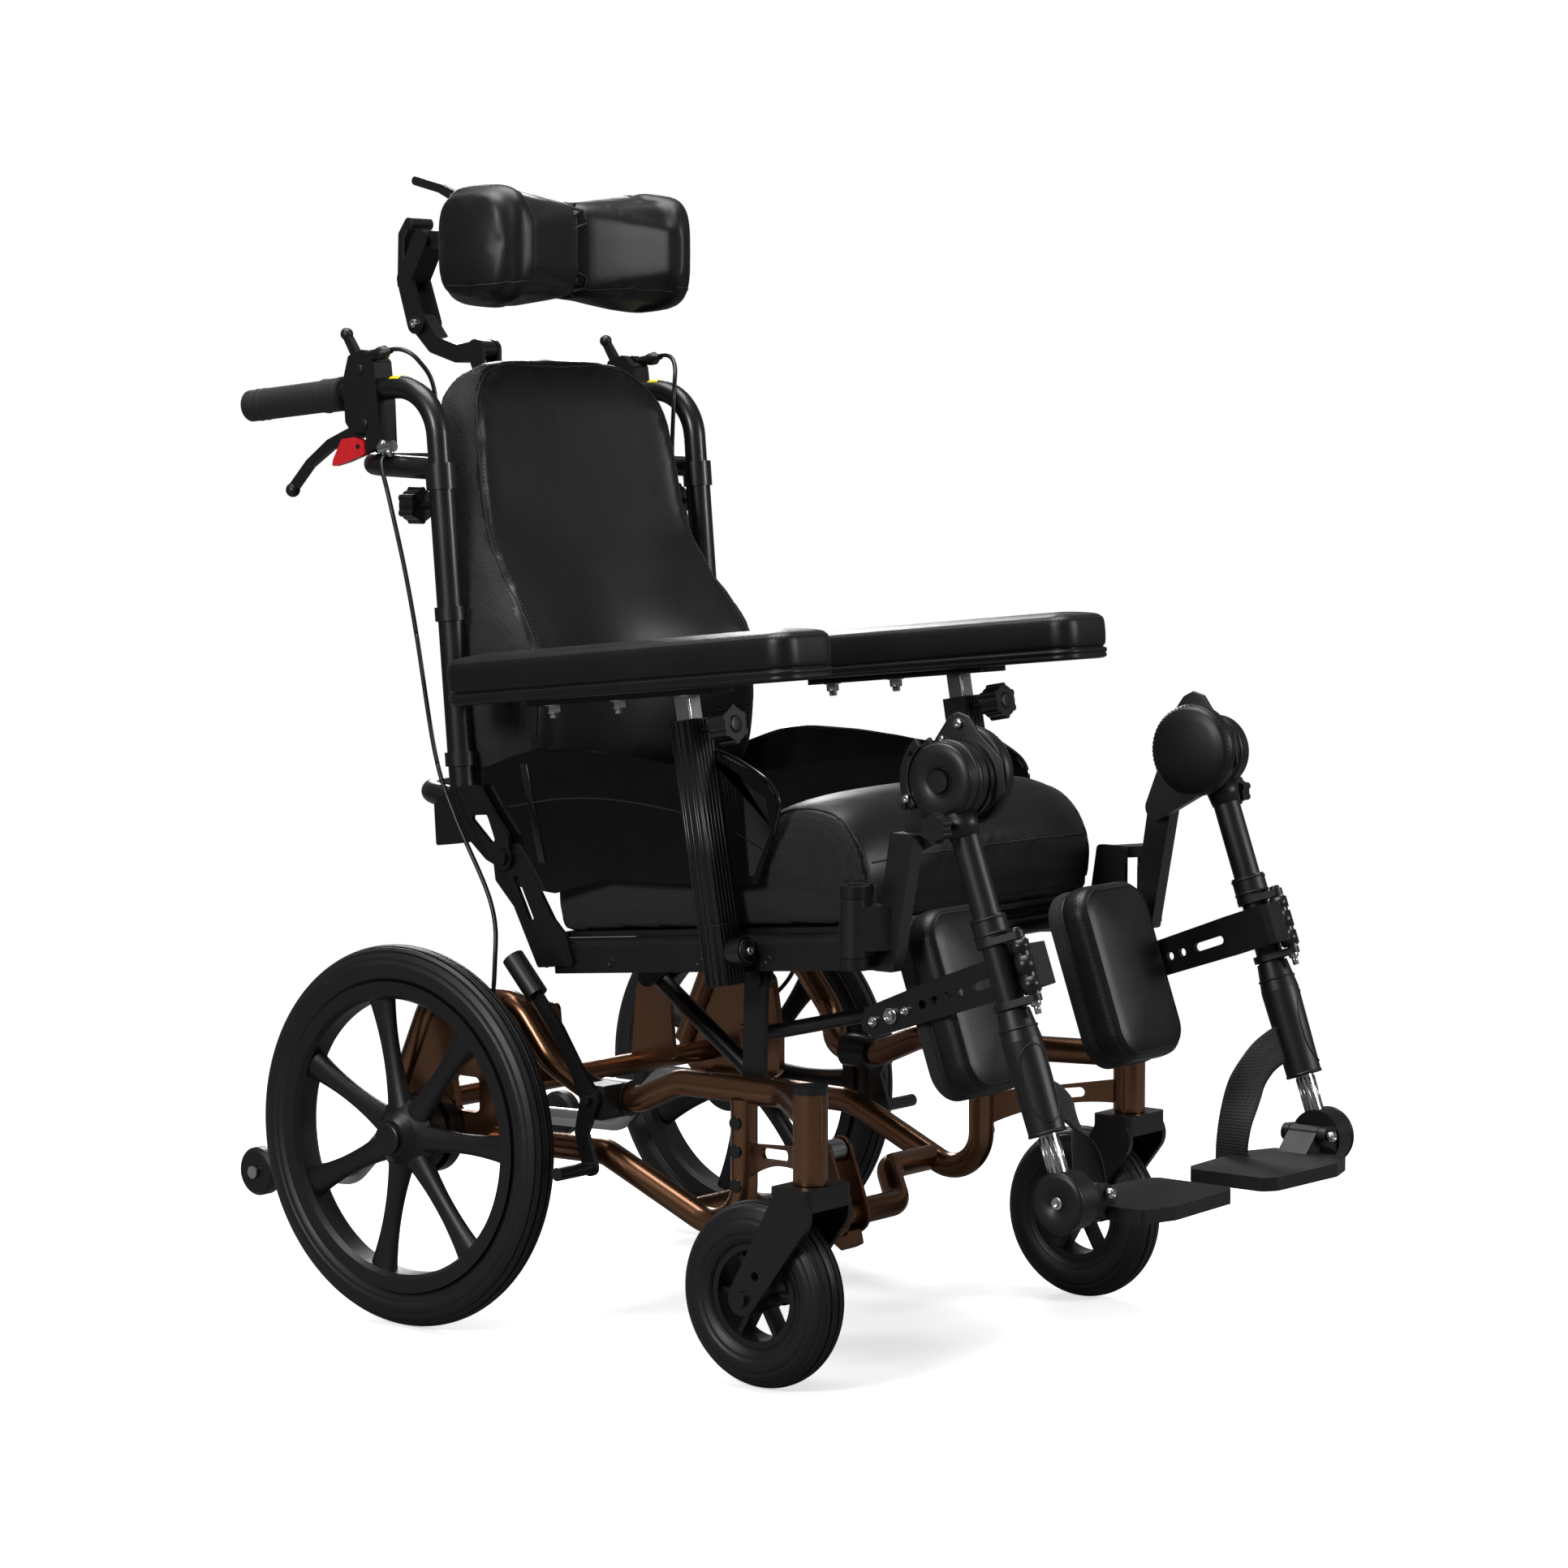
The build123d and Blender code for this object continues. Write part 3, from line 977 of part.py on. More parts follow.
    with BuildPart() as footplate:
        outline = [(190, -584), (150, -597), (44, -592), (30, -582), (30, -498), (44, -488), (150, -482), (190, -498)]
        with BuildSketch(Plane.XY.offset(PLATE_TOP - 14)) as plate:
            Polygon(*[(side * x, y) for x, y in outline])
            fillet(plate.vertices(), 7)
        extrude(plate.sketch, amount=14)
        barrel_front = (side * FLIP_X, disc.Y - 17, FLIP_Z)
        barrel_rear = (side * FLIP_X, disc.Y + 17, FLIP_Z)
        add_rod(barrel_front, barrel_rear, 9)
        with BuildSketch(Plane.XZ.offset(-disc.Y - 17)) as web:
            with Locations((side * FLIP_X, FLIP_Z)):
                Circle(8)
            with Locations((side * 182, PLATE_TOP - 7)):
                Rectangle(14, 14)
            make_hull()
        extrude(web.sketch, amount=34)
        add_rod(pin_start, pin_end, FLIP_PIN / 2 + RUNNING_FIT, mode=Mode.SUBTRACT)
        with BuildSketch(Plane.XY.offset(PLATE_TOP - 15)) as strap_notch:
            with Locations((side * (STRAP_FOOT_X + 4), -476)):
                Rectangle(9, 56)
        extrude(strap_notch.sketch, amount=16, mode=Mode.SUBTRACT)
    save(footplate.part, f"footplate_{hand}")

    with BuildPart() as heel_strap:
        strap_x = LEG_X - 21
        with BuildSketch(Plane.XZ.offset(466)) as strap:
            with BuildLine():
                ThreePointArc((side * strap_x, 327), (side * 150, 292), (side * STRAP_FOOT_X, 222))
                Line((side * STRAP_FOOT_X, 222), (side * STRAP_FOOT_X, STRAP_FOOT_Z))
                Line((side * STRAP_FOOT_X, STRAP_FOOT_Z), (side * (STRAP_FOOT_X + 3.5), STRAP_FOOT_Z))
                Line((side * (STRAP_FOOT_X + 3.5), STRAP_FOOT_Z), (side * (STRAP_FOOT_X + 3.5), 222))
                ThreePointArc((side * (STRAP_FOOT_X + 3.5), 222), (side * 153, 289), (side * strap_x, 323.5))
                Line((side * strap_x, 323.5), (side * strap_x, 327))
            make_face()
        extrude(strap.sketch, amount=36)
    save(heel_strap.part, f"heel_strap_{hand}")
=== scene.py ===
"""Looks of a tilt in space wheelchair, on the frame that the part's own solids give. Metres."""
import math
import re

import bmesh
import bpy
import numpy as np
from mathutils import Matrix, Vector
from mathutils.bvhtree import BVHTree


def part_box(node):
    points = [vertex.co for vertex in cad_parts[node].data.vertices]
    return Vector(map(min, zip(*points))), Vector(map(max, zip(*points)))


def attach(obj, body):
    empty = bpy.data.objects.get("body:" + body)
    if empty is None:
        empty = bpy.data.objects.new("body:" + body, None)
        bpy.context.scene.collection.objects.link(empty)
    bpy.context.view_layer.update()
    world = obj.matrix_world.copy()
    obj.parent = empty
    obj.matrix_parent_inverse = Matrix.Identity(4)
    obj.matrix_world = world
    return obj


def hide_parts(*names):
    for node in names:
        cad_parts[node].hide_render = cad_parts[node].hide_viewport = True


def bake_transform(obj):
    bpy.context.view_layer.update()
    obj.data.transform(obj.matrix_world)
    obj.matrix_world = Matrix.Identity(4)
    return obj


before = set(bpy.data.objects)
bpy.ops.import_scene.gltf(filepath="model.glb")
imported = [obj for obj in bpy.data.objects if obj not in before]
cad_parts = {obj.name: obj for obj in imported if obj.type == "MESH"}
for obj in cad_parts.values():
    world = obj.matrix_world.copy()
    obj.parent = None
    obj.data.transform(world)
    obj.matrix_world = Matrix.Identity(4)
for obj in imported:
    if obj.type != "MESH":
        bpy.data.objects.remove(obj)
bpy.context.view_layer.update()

SIDES = ((-1, "right"), (1, "left"))
MM = 0.001


def full_turn(count):
    """Evenly spaced angles of one whole turn."""
    return np.linspace(0, 2 * np.pi, count + 1)[:-1]


def leaning(degrees):
    """Unit vectors rearwards and upwards of a part that leans back by an angle."""
    turn = math.radians(degrees)
    return np.array([0, math.cos(turn), -math.sin(turn)]), np.array([0, math.sin(turn), math.cos(turn)])


# Leans and key points of the left side. The arm's centre is in metres, the other points are in millimetres.
ARM_BACK, ARM_UP = leaning(5.5)
ARM_CENTRE = (0.244, 0.004, 0.687)
SOCKET_BACK, SOCKET_UP = leaning(10.1)
SOCKET_FOOT = (235, -108, 393)
SEAT_BACK, SEAT_UP = leaning(5.1)
LEG_BACK, LEG_UP = leaning(19.5)
LEG_DOWN = -LEG_UP
LEG_X = 235
KNEE = (-387, 617)


# ---------------------------------------------------------------- helpers

def linear(code):
    """A hex sRGB colour as linear values: each channel undoes the sRGB curve."""
    srgb = np.array([int(code[i:i + 2], 16) / 255 for i in (1, 3, 5)])
    curve = np.where(srgb <= 0.04045, srgb / 12.92, ((srgb + 0.055) / 1.055) ** 2.4)
    return (*curve.tolist(), 1.0)


NOISE, CELLS, WAVES = "ShaderNodeTexNoise", "ShaderNodeTexVoronoi", "ShaderNodeTexWave"
BUMP, RANGE, MATH, MIX = "ShaderNodeBump", "ShaderNodeMapRange", "ShaderNodeMath", "ShaderNodeMix"
SURFACE, OUTPUT = "ShaderNodeBsdfPrincipled", "ShaderNodeOutputMaterial"
COLOUR, SMOOTH = {"data_type": "RGBA"}, {"interpolation_type": "SMOOTHSTEP"}
WHITE = (1, 1, 1, 1)


def add_node(tree, kind, settings=None, **inputs):
    """Add one node with its options and inputs. An input is named with underscores or by number, as i0, and takes a
    value, a socket, or a node, whose first output is then linked."""
    node = tree.nodes.new(kind)
    for option, value in (settings or {}).items():
        setattr(node, option, value)
    for key, value in inputs.items():
        socket = node.inputs[int(key[1:]) if re.fullmatch(r"i\d+", key) else key.replace("_", " ")]
        if isinstance(value, bpy.types.Node):
            value = value.outputs[0]
        if isinstance(value, bpy.types.NodeSocket):
            tree.links.new(value, socket)
        else:
            socket.default_value = value
    return node


def new_material(name):
    """An empty material with its node tree, and the object's own coordinates in metres."""
    material = bpy.data.materials.new(name)
    material.use_nodes = True
    tree = material.node_tree
    tree.nodes.clear()
    return material, tree, add_node(tree, "ShaderNodeTexCoord").outputs["Object"]


# ---------------------------------------------------------------- camera, light and floor

CAMERA_PLACE = Vector((-3.4645, -2.7463, 0.9525))
CAMERA_AZIMUTH = -51.555
CAMERA_ELEVATION = 4.85
CAMERA_LENS = 94.94

SCENE = bpy.context.scene
camera_data = bpy.data.cameras.new("camera")
camera_data.lens = CAMERA_LENS
camera_data.sensor_width = 36
camera = bpy.data.objects.new("camera", camera_data)
camera.location = CAMERA_PLACE
camera.rotation_euler = (math.radians(90 - CAMERA_ELEVATION), 0, math.radians(CAMERA_AZIMUTH))
SCENE.collection.objects.link(camera)
SCENE.camera = camera

ROOM_LIGHT = 0.13
world = bpy.data.worlds.new("studio")
world.use_nodes = True
sky = world.node_tree
sky.nodes.clear()
in_sight = add_node(sky, "ShaderNodeLightPath").outputs["Is Camera Ray"]
dim, bright = (add_node(sky, "ShaderNodeBackground", Color=WHITE, Strength=power) for power in (ROOM_LIGHT, 1.0))
seen = add_node(sky, "ShaderNodeMixShader", i0=in_sight, i1=dim, i2=bright)
add_node(sky, "ShaderNodeOutputWorld", Surface=seen)
SCENE.world = world
SCENE.view_settings.view_transform = "Standard"


def add_softbox(name, place, aim, size, power):
    """Square area light that faces a point above the middle of the floor."""
    light = bpy.data.lights.new(name, "AREA")
    light.shape, light.size, light.energy = "SQUARE", size, power
    lamp = bpy.data.objects.new(name, light)
    lamp.location = place
    lamp.rotation_euler = (Vector((0, 0, aim)) - Vector(place)).to_track_quat("-Z", "Y").to_euler()
    SCENE.collection.objects.link(lamp)


add_softbox("overhead", (-0.2, 0.3, 3.0), 0.5, 1.8, 80)
add_softbox("front_left", (-3.4, -0.2, 2.0), 0.6, 0.9, 62)
add_softbox("front_right", (1.4, -3.6, 1.7), 0.6, 0.8, 50)
add_softbox("back_edge", (2.6, 2.8, 2.2), 0.7, 1.2, 60)

FLOOR_RADIUS = 12
FLOOR_SINK = 0.0004
FADE_START, FADE_END = 0.9, 2.4


def make_floor():
    """Pale round floor: it takes shadows near the chair and fades into the studio further out."""
    material, tree, where = new_material("studio_floor")
    patch = add_node(tree, NOISE, Vector=where, Scale=1000 / 900, Detail=2)
    tone = add_node(tree, MIX, COLOUR, Factor=patch, i6=linear("#F6F6F6"), i7=linear("#FCFCFC")).outputs[2]
    lit = add_node(tree, "ShaderNodeBsdfDiffuse", Color=tone)
    glow, far_floor = (add_node(tree, "ShaderNodeEmission", Color=WHITE, Strength=power) for power in (0.62, 1.0))
    near_floor = add_node(tree, "ShaderNodeAddShader", i0=lit, i1=glow)
    reach = add_node(tree, "ShaderNodeVectorMath", {"operation": "LENGTH"}, i0=where).outputs["Value"]
    fade = add_node(tree, RANGE, SMOOTH, Value=reach, From_Min=FADE_START, From_Max=FADE_END)
    bright_floor = add_node(tree, "ShaderNodeMixShader", i0=fade, i1=near_floor, i2=far_floor)
    grey = add_node(tree, "ShaderNodeBsdfDiffuse", Color=linear("#7A7A7A"))
    in_view = add_node(tree, "ShaderNodeLightPath").outputs["Is Camera Ray"]
    both = add_node(tree, "ShaderNodeMixShader", i0=in_view, i1=grey, i2=bright_floor)
    add_node(tree, OUTPUT, Surface=both)
    angles = full_turn(96)
    ring = np.stack([FLOOR_RADIUS * np.cos(angles), FLOOR_RADIUS * np.sin(angles), 0 * angles - FLOOR_SINK], axis=1)
    mesh = bpy.data.meshes.new("floor")
    mesh.from_pydata(ring.tolist(), [], [list(range(96))])
    mesh.materials.append(material)
    floor = bpy.data.objects.new("floor", mesh)
    SCENE.collection.objects.link(floor)


make_floor()


# ---------------------------------------------------------------- materials

def make_bronze_coat():
    """Bronze metallic powder coat: a warm metal-flake film with a soft, slightly rippled shine."""
    material, tree, where = new_material("bronze_powder_coat")
    flakes = add_node(tree, NOISE, Vector=where, Scale=1000 / 0.9, Detail=2, Roughness=0.7)
    clouds = add_node(tree, NOISE, Vector=where, Scale=1000 / 60, Detail=2)
    surface = add_node(
        tree, SURFACE, Metallic=0.95, Coat_Weight=0.35, Coat_Roughness=0.18,
        Base_Color=add_node(tree, MIX, COLOUR, Factor=flakes, i6=linear("#5A3A28"), i7=linear("#A57858")).outputs[2],
        Roughness=add_node(tree, RANGE, Value=clouds, To_Min=0.22, To_Max=0.30),
        Normal=add_node(tree, BUMP, Strength=0.06, Distance=0.0004, Height=flakes),
    )
    add_node(tree, OUTPUT, Surface=surface)
    return material


def make_black(name, base, worn, roughness, grain_mm, bump, coat=0.0, ior=1.5):
    """Black finish with a grain of one size; roughness wanders a little over each piece."""
    material, tree, where = new_material(name)
    grain = add_node(tree, NOISE, Vector=where, Scale=1000 / grain_mm, Detail=3, Roughness=0.6)
    clouds = add_node(tree, NOISE, Vector=where, Scale=1000 / 45, Detail=3)
    surface = add_node(
        tree, SURFACE, IOR=ior, Coat_Weight=coat, Coat_Roughness=0.08,
        Base_Color=add_node(tree, MIX, COLOUR, Factor=clouds, i6=linear(base), i7=linear(worn)).outputs[2],
        Roughness=add_node(tree, RANGE, Value=clouds, To_Min=roughness - 0.05, To_Max=roughness + 0.06),
        Normal=add_node(tree, BUMP, Strength=bump, Distance=0.0004, Height=grain),
    )
    add_node(tree, OUTPUT, Surface=surface)
    return material


def make_chrome(name):
    """Polished and plated steel: nearly a mirror, with faint drawing lines along its length."""
    material, tree, where = new_material(name)
    stretched = add_node(tree, "ShaderNodeMapping", Vector=where, Scale=(1.0, 1.0, 0.06))
    lines = add_node(tree, NOISE, Vector=stretched, Scale=1000 / 1.2, Detail=2)
    scuffs = add_node(tree, NOISE, Vector=where, Scale=1000 / 25, Detail=3)
    surface = add_node(
        tree, SURFACE, Metallic=1.0,
        Base_Color=add_node(tree, MIX, COLOUR, Factor=scuffs, i6=linear("#B9BBBE"), i7=linear("#D6D8DA")).outputs[2],
        Roughness=add_node(tree, RANGE, Value=scuffs, To_Min=0.2, To_Max=0.3),
        Normal=add_node(tree, BUMP, Strength=0.015, Distance=0.0002, Height=lines),
    )
    add_node(tree, OUTPUT, Surface=surface)
    return material


TREAD_PITCH = 0.0052


def make_tyre_rubber():
    """Moulded solid rubber: dull, with a faint bloom and round tread grooves across the tyre."""
    material, tree, where = new_material("tyre_rubber")
    grit = add_node(tree, NOISE, Vector=where, Scale=1000 / 0.8, Detail=4, Roughness=0.7)
    bloom = add_node(tree, NOISE, Vector=where, Scale=1000 / 30, Detail=4)
    across = add_node(tree, MATH, {"operation": "ABSOLUTE"}, i0=add_node(tree, "ShaderNodeSeparateXYZ", Vector=where))
    wave = add_node(tree, MATH, {"operation": "PINGPONG"}, i0=across, i1=TREAD_PITCH / 2)
    groove = add_node(tree, RANGE, SMOOTH, Value=wave, From_Min=0.0002, From_Max=0.0009)
    tread = add_node(tree, BUMP, Strength=0.75, Distance=0.0011, Height=groove)
    surface = add_node(
        tree, SURFACE, IOR=1.52,
        Base_Color=add_node(tree, MIX, COLOUR, Factor=bloom, i6=linear("#0B0B0B"), i7=linear("#141415")).outputs[2],
        Roughness=add_node(tree, RANGE, Value=bloom, To_Min=0.40, To_Max=0.55),
        Normal=add_node(tree, BUMP, Strength=0.12, Distance=0.0004, Height=grit, Normal=tread),
    )
    add_node(tree, OUTPUT, Surface=surface)
    return material


def make_coated_fabric():
    """Black coated fabric: an embossed grain of small creased cells, soft sheen on the high spots, painted as a lighter
    colour where the folds rise.
    """
    material, tree, where = new_material("coated_fabric")
    cells = add_node(tree, CELLS, {"feature": "DISTANCE_TO_EDGE"}, Vector=where, Scale=1000 / 1.6, Randomness=1.0)
    pores = add_node(tree, NOISE, Vector=where, Scale=1000 / 0.9, Detail=3, Roughness=0.6)
    folds = add_node(tree, NOISE, Vector=where, Scale=1000 / 70, Detail=3, Roughness=0.45)
    grain = add_node(tree, MATH, {"operation": "MULTIPLY"}, i0=cells, i1=pores)
    fine = add_node(tree, BUMP, Strength=0.28, Distance=0.0005, Height=grain)
    surface = add_node(
        tree, SURFACE, IOR=1.45, Sheen_Weight=0.03, Sheen_Roughness=0.4,
        # Painted sheen: the colour turns lighter where the fold height rises.
        Base_Color=add_node(tree, MIX, COLOUR, Factor=folds, i6=linear("#070708"), i7=linear("#0E0E0F")).outputs[2],
        Roughness=add_node(tree, RANGE, Value=folds, To_Min=0.36, To_Max=0.47),
        Normal=add_node(tree, BUMP, Strength=0.25, Distance=0.004, Height=folds, Normal=fine),
    )
    add_node(tree, OUTPUT, Surface=surface)
    return material


def make_spacer_mesh():
    """Black knitted spacer mesh on the cushions' sides: rows of small round holes about 2.6 mm apart, darkened by
    painted shade.
    """
    material, tree, where = new_material("spacer_mesh")
    holes = add_node(tree, CELLS, Vector=where, Scale=1000 / 2.6, Randomness=0.25)
    threads = add_node(tree, NOISE, Vector=where, Scale=1000 / 0.8, Detail=2)
    height = add_node(tree, MATH, {"operation": "ADD"}, i0=holes, i1=threads)
    surface = add_node(
        tree, SURFACE, Roughness=0.78, Sheen_Weight=0.08,
        # Painted shade: the colour darkens towards the centre of each hole, where the bump sinks.
        Base_Color=add_node(tree, MIX, COLOUR, Factor=holes, i6=linear("#080809"), i7=linear("#262627")).outputs[2],
        Normal=add_node(tree, BUMP, Strength=0.7, Distance=0.0011, Height=height),
    )
    add_node(tree, OUTPUT, Surface=surface)
    return material


def make_webbing():
    """Woven nylon webbing: ribs across the strap 1.6 mm apart, each broken by warp threads 2.2 mm apart; painted shade
    darkens the weave's low spots.
    """
    material, tree, where = new_material("nylon_webbing")
    ribs, warp = (
        add_node(
            tree, WAVES, {"bands_direction": way}, Vector=where, Scale=1000 / pitch / 6.28, Distortion=0.3,
        ).outputs["Fac"]
        for way, pitch in (("Z", 1.6), ("Y", 2.2))
    )
    height = add_node(tree, MATH, {"operation": "MULTIPLY"}, i0=ribs, i1=warp)
    surface = add_node(
        tree, SURFACE, Roughness=0.7, Sheen_Weight=0.08,
        # Painted shade: the colour darkens where the weave sinks and lightens on its raised threads.
        Base_Color=add_node(tree, MIX, COLOUR, Factor=height, i6=linear("#080809"), i7=linear("#161617")).outputs[2],
        Normal=add_node(tree, BUMP, Strength=0.6, Distance=0.0007, Height=height),
    )
    add_node(tree, OUTPUT, Surface=surface)
    return material


def make_red_nylon():
    """Red moulded nylon: an even gloss with a faint flow texture."""
    material, tree, where = new_material("red_nylon")
    flow = add_node(tree, NOISE, Vector=where, Scale=1000 / 6, Detail=3)
    surface = add_node(
        tree, SURFACE,
        Base_Color=add_node(tree, MIX, COLOUR, Factor=flow, i6=linear("#C9161F"), i7=linear("#DE2A30")).outputs[2],
        Roughness=add_node(tree, RANGE, Value=flow, To_Min=0.28, To_Max=0.4),
        Normal=add_node(tree, BUMP, Strength=0.08, Distance=0.0004, Height=flow),
    )
    add_node(tree, OUTPUT, Surface=surface)
    return material


def make_yellow():
    """Printed yellow height mark: an even satin ink film."""
    material, tree, where = new_material("yellow_mark_ink")
    film = add_node(tree, NOISE, Vector=where, Scale=1000 / 5, Detail=2)
    surface = add_node(
        tree, SURFACE,
        Base_Color=add_node(tree, MIX, COLOUR, Factor=film, i6=linear("#F2D400"), i7=linear("#FFE81A")).outputs[2],
        Roughness=add_node(tree, RANGE, Value=film, To_Min=0.35, To_Max=0.45),
    )
    add_node(tree, OUTPUT, Surface=surface)
    return material


bronze = make_bronze_coat()
# Powder coat on steel: a fine orange peel under a soft shine.
black_coat = make_black("black_powder_coat", "#0A0A0B", "#111112", 0.36, 1.1, 0.10, coat=0.15)
# Anodised aluminium: a thin hard film, smooth and a little brighter at a low angle.
black_anodised = make_black("black_anodised_aluminium", "#0B0B0C", "#121213", 0.31, 0.6, 0.06, ior=1.7)
# Moulded nylon: dull, with a fine grain from the mould.
black_nylon = make_black("black_nylon", "#0B0B0C", "#121213", 0.43, 0.9, 0.16)
# Glass filled nylon: a coarser and slightly paler grain.
wheel_nylon = make_black("glass_filled_nylon", "#0D0D0E", "#161617", 0.41, 1.4, 0.14)
# Polished ABS sheet: nearly a mirror, with long faint waves.
guard_plastic = make_black("polished_guard_plastic", "#0A0A0B", "#101012", 0.12, 8.0, 0.03, coat=0.6)
# Closed-cell foam: matt, grey and finely pitted.
grip_foam = make_black("grip_foam", "#151516", "#1F1F20", 0.62, 0.9, 0.35)
# Extruded cable sleeve: an even satin.
cable_sleeve = make_black("cable_sleeve", "#0A0A0B", "#101011", 0.34, 3.0, 0.05)
chrome = make_chrome("plated_steel")
zinc = make_chrome("zinc_plated_bolt")
tyre_rubber = make_tyre_rubber()
coated_fabric = make_coated_fabric()
spacer_mesh = make_spacer_mesh()
webbing = make_webbing()
red_nylon = make_red_nylon()
mark_yellow = make_yellow()
# Sewing thread: matt. The stitches are painted paler than the seams: a painted highlight for the light they catch, as
# they lie on top.
seam_thread = make_black("seam_thread", "#0C0C0D", "#141415", 0.6, 0.8, 0.2)
thread_light = make_black("stitching_thread", "#2A2A2B", "#383839", 0.55, 0.8, 0.2)

FINISHES = (
    (bronze, "side_frame cross_frame"),
    (chrome, "anti_tip_tubes tilt_gas_rod armrest_post leg_extension"),
    (wheel_nylon, "rear_wheel anti_tip_wheel"),
    (tyre_rubber, "rear_tyre castor_wheel"),
    (black_coat, "frame_fittings castor_fork wheel_lock_lever seat_frame tilt_gas_cylinder back_frame push_handle"
                 " headrest_lower_arm headrest_upper_arm calf_bracket"),
    (black_anodised, "armrest_sockets legrest_hanger"),
    (guard_plastic, "side_guards"),
    (grip_foam, "push_grip"),
    (black_nylon, "release_lever brake_lever headrest_lever leg_tube footplate"),
    (red_nylon, "lock_tab"),
)


def dress(mesh, materials):
    """Replace the materials of a mesh, whose faces all take the first until they are painted."""
    mesh.materials.clear()
    for material in materials:
        mesh.materials.append(material)


for shared_finish, kinds in FINISHES:
    for node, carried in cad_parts.items():
        if node.removesuffix("_right").removesuffix("_left") in kinds.split():
            dress(carried.data, [shared_finish])


# ---------------------------------------------------------------- surfaces

def unit(vectors):
    return vectors / np.maximum(np.linalg.norm(vectors, axis=-1, keepdims=True), 1e-12)


def lengths_along(path):
    """Distance of each point of a path from its start."""
    return np.concatenate([[0], np.cumsum(np.linalg.norm(np.diff(path, axis=0), axis=1))])


def spline(points, count, closed=False):
    """Catmull-Rom curve through the points, sampled so that the samples lie evenly along its length."""
    points = np.asarray(points, float)
    if closed:
        padded = np.concatenate([points[-1:], points, points[:2]])
    else:
        padded = np.concatenate([2 * points[:1] - points[1:2], points, 2 * points[-1:] - points[-2:-1]])
    spans = len(padded) - 3
    t = np.linspace(0, spans, spans * 24 + 1)
    k = np.minimum(t.astype(int), spans - 1)
    f = (t - k)[:, None]
    before, first, second, after = padded[k], padded[k + 1], padded[k + 2], padded[k + 3]
    dense = 0.5 * (
        2 * first + (second - before) * f + (2 * before - 5 * first + 4 * second - after) * f**2
        + (3 * first - before - 3 * second + after) * f**3
    )
    along = lengths_along(dense)
    even = np.linspace(0, along[-1], count + 1)[:-1] if closed else np.linspace(0, along[-1], count)
    return np.stack([np.interp(even, along, dense[:, axis]) for axis in range(dense.shape[1])], axis=1)


def rounded_box(half_x, half_y, radius, count=96):
    """Rounded rectangle: a quarter circle round each corner centre, and straight sides between them."""
    radius = min(radius, half_x, half_y)
    per = count // 4
    turn = np.linspace(0, np.pi / 2, per - 4)
    corners = []
    for quarter, (sx, sy) in enumerate(((1, 1), (-1, 1), (-1, -1), (1, -1))):
        angle = turn + quarter * np.pi / 2
        centre = np.array([sx * (half_x - radius), sy * (half_y - radius)])
        corners.append(centre + radius * np.stack([np.cos(angle), np.sin(angle)], axis=1))
    outline = []
    for first, second in zip(corners, corners[1:] + corners[:1]):
        outline.append(first)
        share = np.linspace(0, 1, 6)[1:-1, None]
        outline.append(first[-1] + share * (second[0] - first[-1]))
    return np.concatenate(outline)


def make_piece(name, points, faces, materials, slots=None, smooth=True):
    """Mesh object from point and face arrays; faces are turned outwards by the sign of the enclosed volume."""
    mesh = bpy.data.meshes.new(name)
    mesh.from_pydata(np.asarray(points).tolist(), [], [list(face) for face in faces])
    dress(mesh, materials)
    if slots is not None:
        mesh.polygons.foreach_set("material_index", np.asarray(slots, np.int32))
    mesh.polygons.foreach_set("use_smooth", np.full(len(mesh.polygons), smooth))
    work = bmesh.new()
    work.from_mesh(mesh)
    bmesh.ops.remove_doubles(work, verts=work.verts, dist=2e-6)
    bmesh.ops.recalc_face_normals(work, faces=work.faces)
    work.to_mesh(mesh)
    work.free()
    piece = bpy.data.objects.new(name, mesh)
    SCENE.collection.objects.link(piece)
    return piece


def grid_faces(rows, columns, close_rows=False):
    """Quads between neighbouring rows, each row closing on itself."""
    row = np.arange(rows if close_rows else rows - 1)[:, None]
    column = np.arange(columns)[None, :]
    after, beside = (row + 1) % rows, (column + 1) % columns
    corners = np.stack([
        row * columns + column, row * columns + beside, after * columns + beside, after * columns + column,
    ])
    return corners.reshape(4, -1).T


def stack_end(loops, end):
    """End loop of a stack, its centre and the direction that leads out of the stack there."""
    centre = loops[end].mean(axis=0)
    return loops[end], centre, unit(centre - loops[1 if end == 0 else -2].mean(axis=0))


def skin(name, loops, materials, slots=None, crown=(0.0, 0.0), closing=7):
    """Closed form through a stack of loops. Each end shrinks to its centre and rises there by its crown."""
    loops = np.asarray(loops, float)
    rows = [loops]
    share = np.linspace(1, 0, closing)[1:, None, None]
    for end, rise in zip((0, -1), crown):
        edge, centre, outward = stack_end(loops, end)
        cap = centre + (edge - centre) * share + outward * rise * (1 - share**2)
        rows = [cap[::-1], *rows] if end == 0 else [*rows, cap]
    stack = np.concatenate(rows)
    points = stack.reshape(-1, 3)
    faces = grid_faces(len(stack), stack.shape[1])
    return make_piece(name, points, faces, materials, slots and slots(points[faces].mean(axis=1)))


def rounded_stack(loops, radius, steps=6):
    """Round both ends of a stack of loops: the end loops pull in by r(1 - cos a) while they move out by r sin a."""
    loops = np.asarray(loops, float)
    rows = [*loops]
    for end in (0, -1):
        edge, centre, outward = stack_end(loops, end)
        reach = np.linalg.norm(edge - centre, axis=1).min()
        for angle in np.linspace(0, np.pi / 2, steps + 1)[1:]:
            shrink = 1 - min(radius * (1 - math.cos(angle)) / reach, 0.9)
            ring = centre + (edge - centre) * shrink + outward * radius * math.sin(angle)
            rows.insert(0 if end == 0 else len(rows), ring)
    return np.array(rows)


